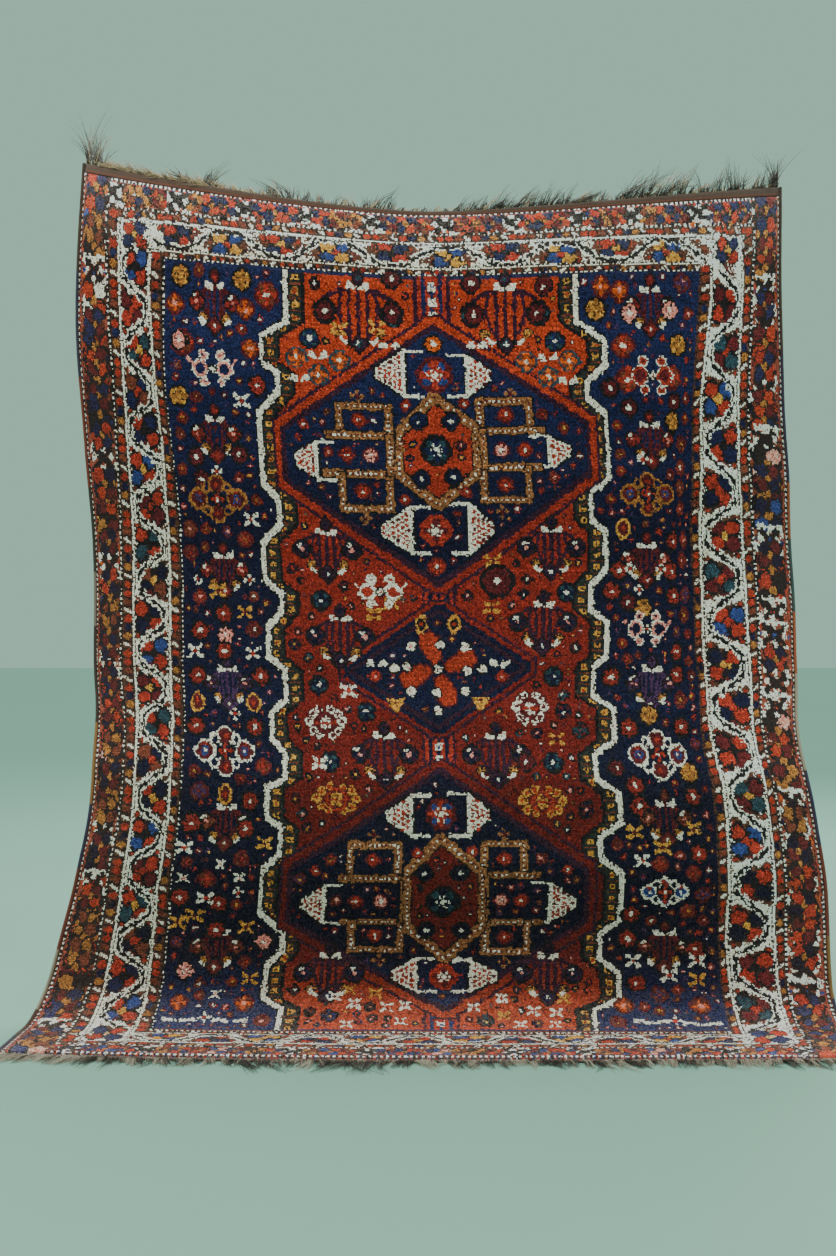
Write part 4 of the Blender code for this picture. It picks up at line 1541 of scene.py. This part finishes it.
def hairLines(plan, numbers, onFloor):
    centres, radii, tones = [], [], []
    steps = np.linspace(0, 1, hairs["points"])
    s = steps[:, None]
    edge = 1.0 if onFloor else 0.0
    dark = ("dark", "brown", "dark", "grey")
    for low, high, count, length, lean, creamShare in plan["tufts"]:
        clumps = max(count // plan["clump"], 1)
        for clump in range(clumps):
            middle = low + (high - low) * (clump + numbers.normal(0.5, hairs["clumpAside"])) / clumps
            clumpLean = lean + numbers.normal(0, hairs["clumpLean"])
            clumpLong = length * numbers.uniform(*hairs["clumpLong"])
            bend = numbers.normal(0, hairs["clumpBend"])
            cream = numbers.random() < creamShare
            for _ in range(plan["clump"]):
                across = np.clip(middle + numbers.normal(0, hairs["aside"]), low, high)
                root = onCloth(across, edge, cloth["bandThick"] * numbers.uniform(*hairs["rootAt"]))
                down, facing = heading(clothDown, across, edge), heading(clothFacing, across, edge)
                out = down if onFloor else -down
                side = np.cross(out, facing)
                side = side * np.sign(side[0])
                turn = clumpLean + numbers.normal(0, hairs["lean"])
                long = clumpLong * numbers.uniform(*hairs["long"])
                path = root + out * s * long * math.cos(turn) + side * np.sin(turn) * long * s ** 1.15
                curl = np.sin(s * numbers.uniform(3, 8) + numbers.uniform(0, 6))
                path = path + side * bend * long * s**2 + side * curl * long * hairs["curl"] * s
                if onFloor:
                    arch = (0.0035 * numbers.random() + 0.0008) * np.sin(steps * math.pi) * 2
                    path[:, 2] = np.maximum(root[2] + arch - steps * 0.002, floorHeight + 0.0010)
                else:
                    path = path + facing * numbers.normal(0.05, 0.22) * long * s**1.6
                    path[:, 2] -= (long * steps**2) * 0.10
                centres.append(path)
                thick = plan["radius"] * numbers.uniform(*hairs["thick"])
                radii.append(thick * (1 - hairs["taper"] * steps))
                base = plan["pale"] if cream else dark[int(numbers.integers(len(dark)))]
                tones.append(np.array(hairTones[base]) * numbers.uniform(*hairs["tone"]))
    return np.array(centres), np.array(radii), np.array(tones)


hairFinish = makeHairFinish("goat hair and warp ends")
topHairs = growHairs("top_hairs", *hairLines(topFringe, np.random.default_rng(41), False), hairFinish)
footHairs = growHairs("foot_hairs", *hairLines(footFringe, np.random.default_rng(42), True), hairFinish)
print("fringes grown")

# the overcast selvedges
selvedge = {"halfWidth": 0.0034, "halfHeight": 0.0050, "sides": 10, "wrap": 0.0036, "lean": 0.0012}
selvedgeLengths = {  # how far along each wrapping yarn goes, and its colour in sRGB
    "left": [
        (0.10, (70, 48, 34)), (0.20, (34, 42, 84)), (0.31, (150, 62, 38)), (0.40, (38, 52, 44)),
        (0.46, (150, 140, 122)), (0.57, (44, 36, 34)), (0.66, (176, 124, 58)), (0.73, (34, 42, 90)),
        (0.82, (148, 58, 38)), (0.89, (196, 184, 160)), (0.95, (84, 54, 38)), (1.01, (34, 44, 88)),
    ],
    "right": [
        (0.16, (66, 46, 34)), (0.29, (30, 38, 84)), (0.35, (190, 92, 44)), (0.43, (40, 86, 90)),
        (0.50, (190, 92, 44)), (0.61, (196, 184, 160)), (0.69, (32, 42, 92)), (0.79, (148, 58, 38)),
        (0.86, (178, 128, 60)), (1.01, (34, 44, 92)),
    ],
}


def makeSelvedgeFinish():
    finish = Finish("wrapped wool", Roughness=0.85, Specular_IOR_Level=0.25, Sheen_Weight=0.3)
    fibre = finish.noise(1300, 3)
    worn = finish.noise(45, 3)
    colour = finish.shaded(finish.dyed("dye"), fibre, 0.55, 1.35)
    colour = finish.mix(worn * 0.22, colour, (0.20, 0.15, 0.11, 1))
    finish.feed(Base_Color=colour, Normal=finish.bump(fibre, 0.0006, 0.8))
    return finish.material


def makeSelvedge(side, across):
    length = float(warpLength[0 if across < 0 else -1])
    wraps = round(length / selvedge["wrap"])
    rings = wraps * 3
    bm = bmesh.new()
    bmesh.ops.create_grid(bm, x_segments=selvedge["sides"], y_segments=rings, size=1)
    places = np.array([vert.co[:2] for vert in bm.verts])
    spoke = np.rint((places[:, 0] + 1) / 2 * selvedge["sides"]).astype(int)
    ringAt = np.rint((places[:, 1] + 1) / 2 * rings).astype(int)
    angle = spoke / selvedge["sides"] * math.tau
    share = ringAt / rings
    alongCloth = share + np.sin(angle) * selvedge["lean"] * np.sin(share * math.pi)
    down, facing = heading(clothDown, across, alongCloth), heading(clothFacing, across, alongCloth)
    outward = across * unit(np.cross(facing, down))
    ridge = np.array([0.90, 1.0, 1.0])[ringAt % 3]
    uneven = 1 + 0.05 * np.sin(ringAt * 0.21) * np.sin(ringAt * 0.057 + 1)
    size = ridge * np.clip(uneven, 0.9, 1.0)
    size = np.where((ringAt == 0) | (ringAt == rings), 0.6, size)
    centre = onCloth(across, alongCloth, selvedge["halfHeight"])
    centre = centre + outward * (cloth["gap"] + selvedge["halfWidth"])
    sideways = np.cos(angle) * size * selvedge["halfWidth"]
    forwards = np.sin(angle) * size * selvedge["halfHeight"]
    setPoints(bm, centre + outward * sideways[:, None] + facing * forwards[:, None])
    bmesh.ops.remove_doubles(bm, verts=bm.verts[:], dist=1e-6)
    bmesh.ops.holes_fill(bm, edges=[edge for edge in bm.edges if edge.is_boundary], sides=0)
    for face in bm.faces:
        face.smooth = True
    piece = newPiece("wrapped_" + side, bm, selvedgeFinish)
    corners = np.array([vert.co for vert in piece.data.vertices], np.float32)
    edgeLine = onCloth(across, np.linspace(0, 1, 1200), 0.0)
    nearest = [np.argmin(((edgeLine - point) ** 2).sum(axis=1)) for point in corners]
    stops, colours = zip(*selvedgeLengths[side])
    picked = np.searchsorted(stops, np.array(nearest) / (len(edgeLine) - 1))
    share = np.array(colours, float)[picked.clip(0, len(stops) - 1)] / 255
    # painted shade: the wrapping colours are darkened to less than half, so that the edges stay dark though
    # they face the lights
    writeColours(piece, "dye", "POINT", share**2.2 * 0.45)
    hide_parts("selvedge_" + side)
    return piece


selvedgeFinish = makeSelvedgeFinish()
leftSelvedge = makeSelvedge("left", -1)
rightSelvedge = makeSelvedge("right", 1)
print("selvedges wrapped")

# floor and light
studio = {
    "floorSize": 44.0,
    "floor": [(0.18, 0.35, 0.282, 1), (0.20, 0.375, 0.305, 1)],
    "background": (0.36, 0.60, 0.49, 1),
    "strength": 0.92,
    "lights": {  # where each soft light is, where it points, its size, power and colour
        "key light": ((-0.8, -2.0, 1.7), (0, 0, -0.6), (2.4, 1.4), 95, (1.0, 0.93, 0.90)),
        "fill light": ((2.2, -2.4, 0.2), (0, 0, -0.8), (1.8, 2.2), 16, (1.0, 0.95, 0.94)),
        "back light": ((0.8, 2.6, 1.2), (0, 0, -0.8), (2.4, 2.0), 110, (1.0, 0.95, 0.92)),
    },
    "ceiling": {"strength": 2.2, "spread": 60, "colour": (1.0, 0.95, 0.93), "way": (0, 0.22, -1)},
}


def makeFloor():
    bm = bmesh.new()
    bmesh.ops.create_grid(bm, x_segments=1, y_segments=1, size=studio["floorSize"] / 2)
    bmesh.ops.translate(bm, vec=(0, 0, floorHeight), verts=bm.verts[:])
    mesh = bpy.data.meshes.new("floor")
    bm.to_mesh(mesh)
    bm.free()
    floor = putInScene("floor", mesh)
    finish = Finish("pale floor", Roughness=0.7)
    finish.feed(Base_Color=finish.mix(finish.noise(1.5, 4), *studio["floor"]))
    mesh.materials.append(finish.material)


def softLight(name, place, target, size, power, colour):
    light = bpy.data.lights.new(name, "AREA")
    light.shape, light.size, light.size_y = "RECTANGLE", *size
    light.energy, light.color = power, colour
    lamp = putInScene(name, light)
    lamp.location = place
    lamp.rotation_euler = (Vector(target) - Vector(place)).to_track_quat("-Z", "Y").to_euler()


makeFloor()
world = bpy.data.worlds.new("soft room")
world.use_nodes = True
backdrop = world.node_tree.nodes["Background"].inputs
backdrop["Color"].default_value, backdrop["Strength"].default_value = studio["background"], studio["strength"]
bpy.context.scene.world = world
for name, plan in studio["lights"].items():
    softLight(name, *plan)
plan = studio["ceiling"]
sky = bpy.data.lights.new("ceiling light", "SUN")
sky.energy, sky.angle, sky.color = plan["strength"], math.radians(plan["spread"]), plan["colour"]
ceiling = putInScene("ceiling light", sky)
ceiling.rotation_euler = Vector(plan["way"]).to_track_quat("-Z", "Y").to_euler()
print("studio lit")
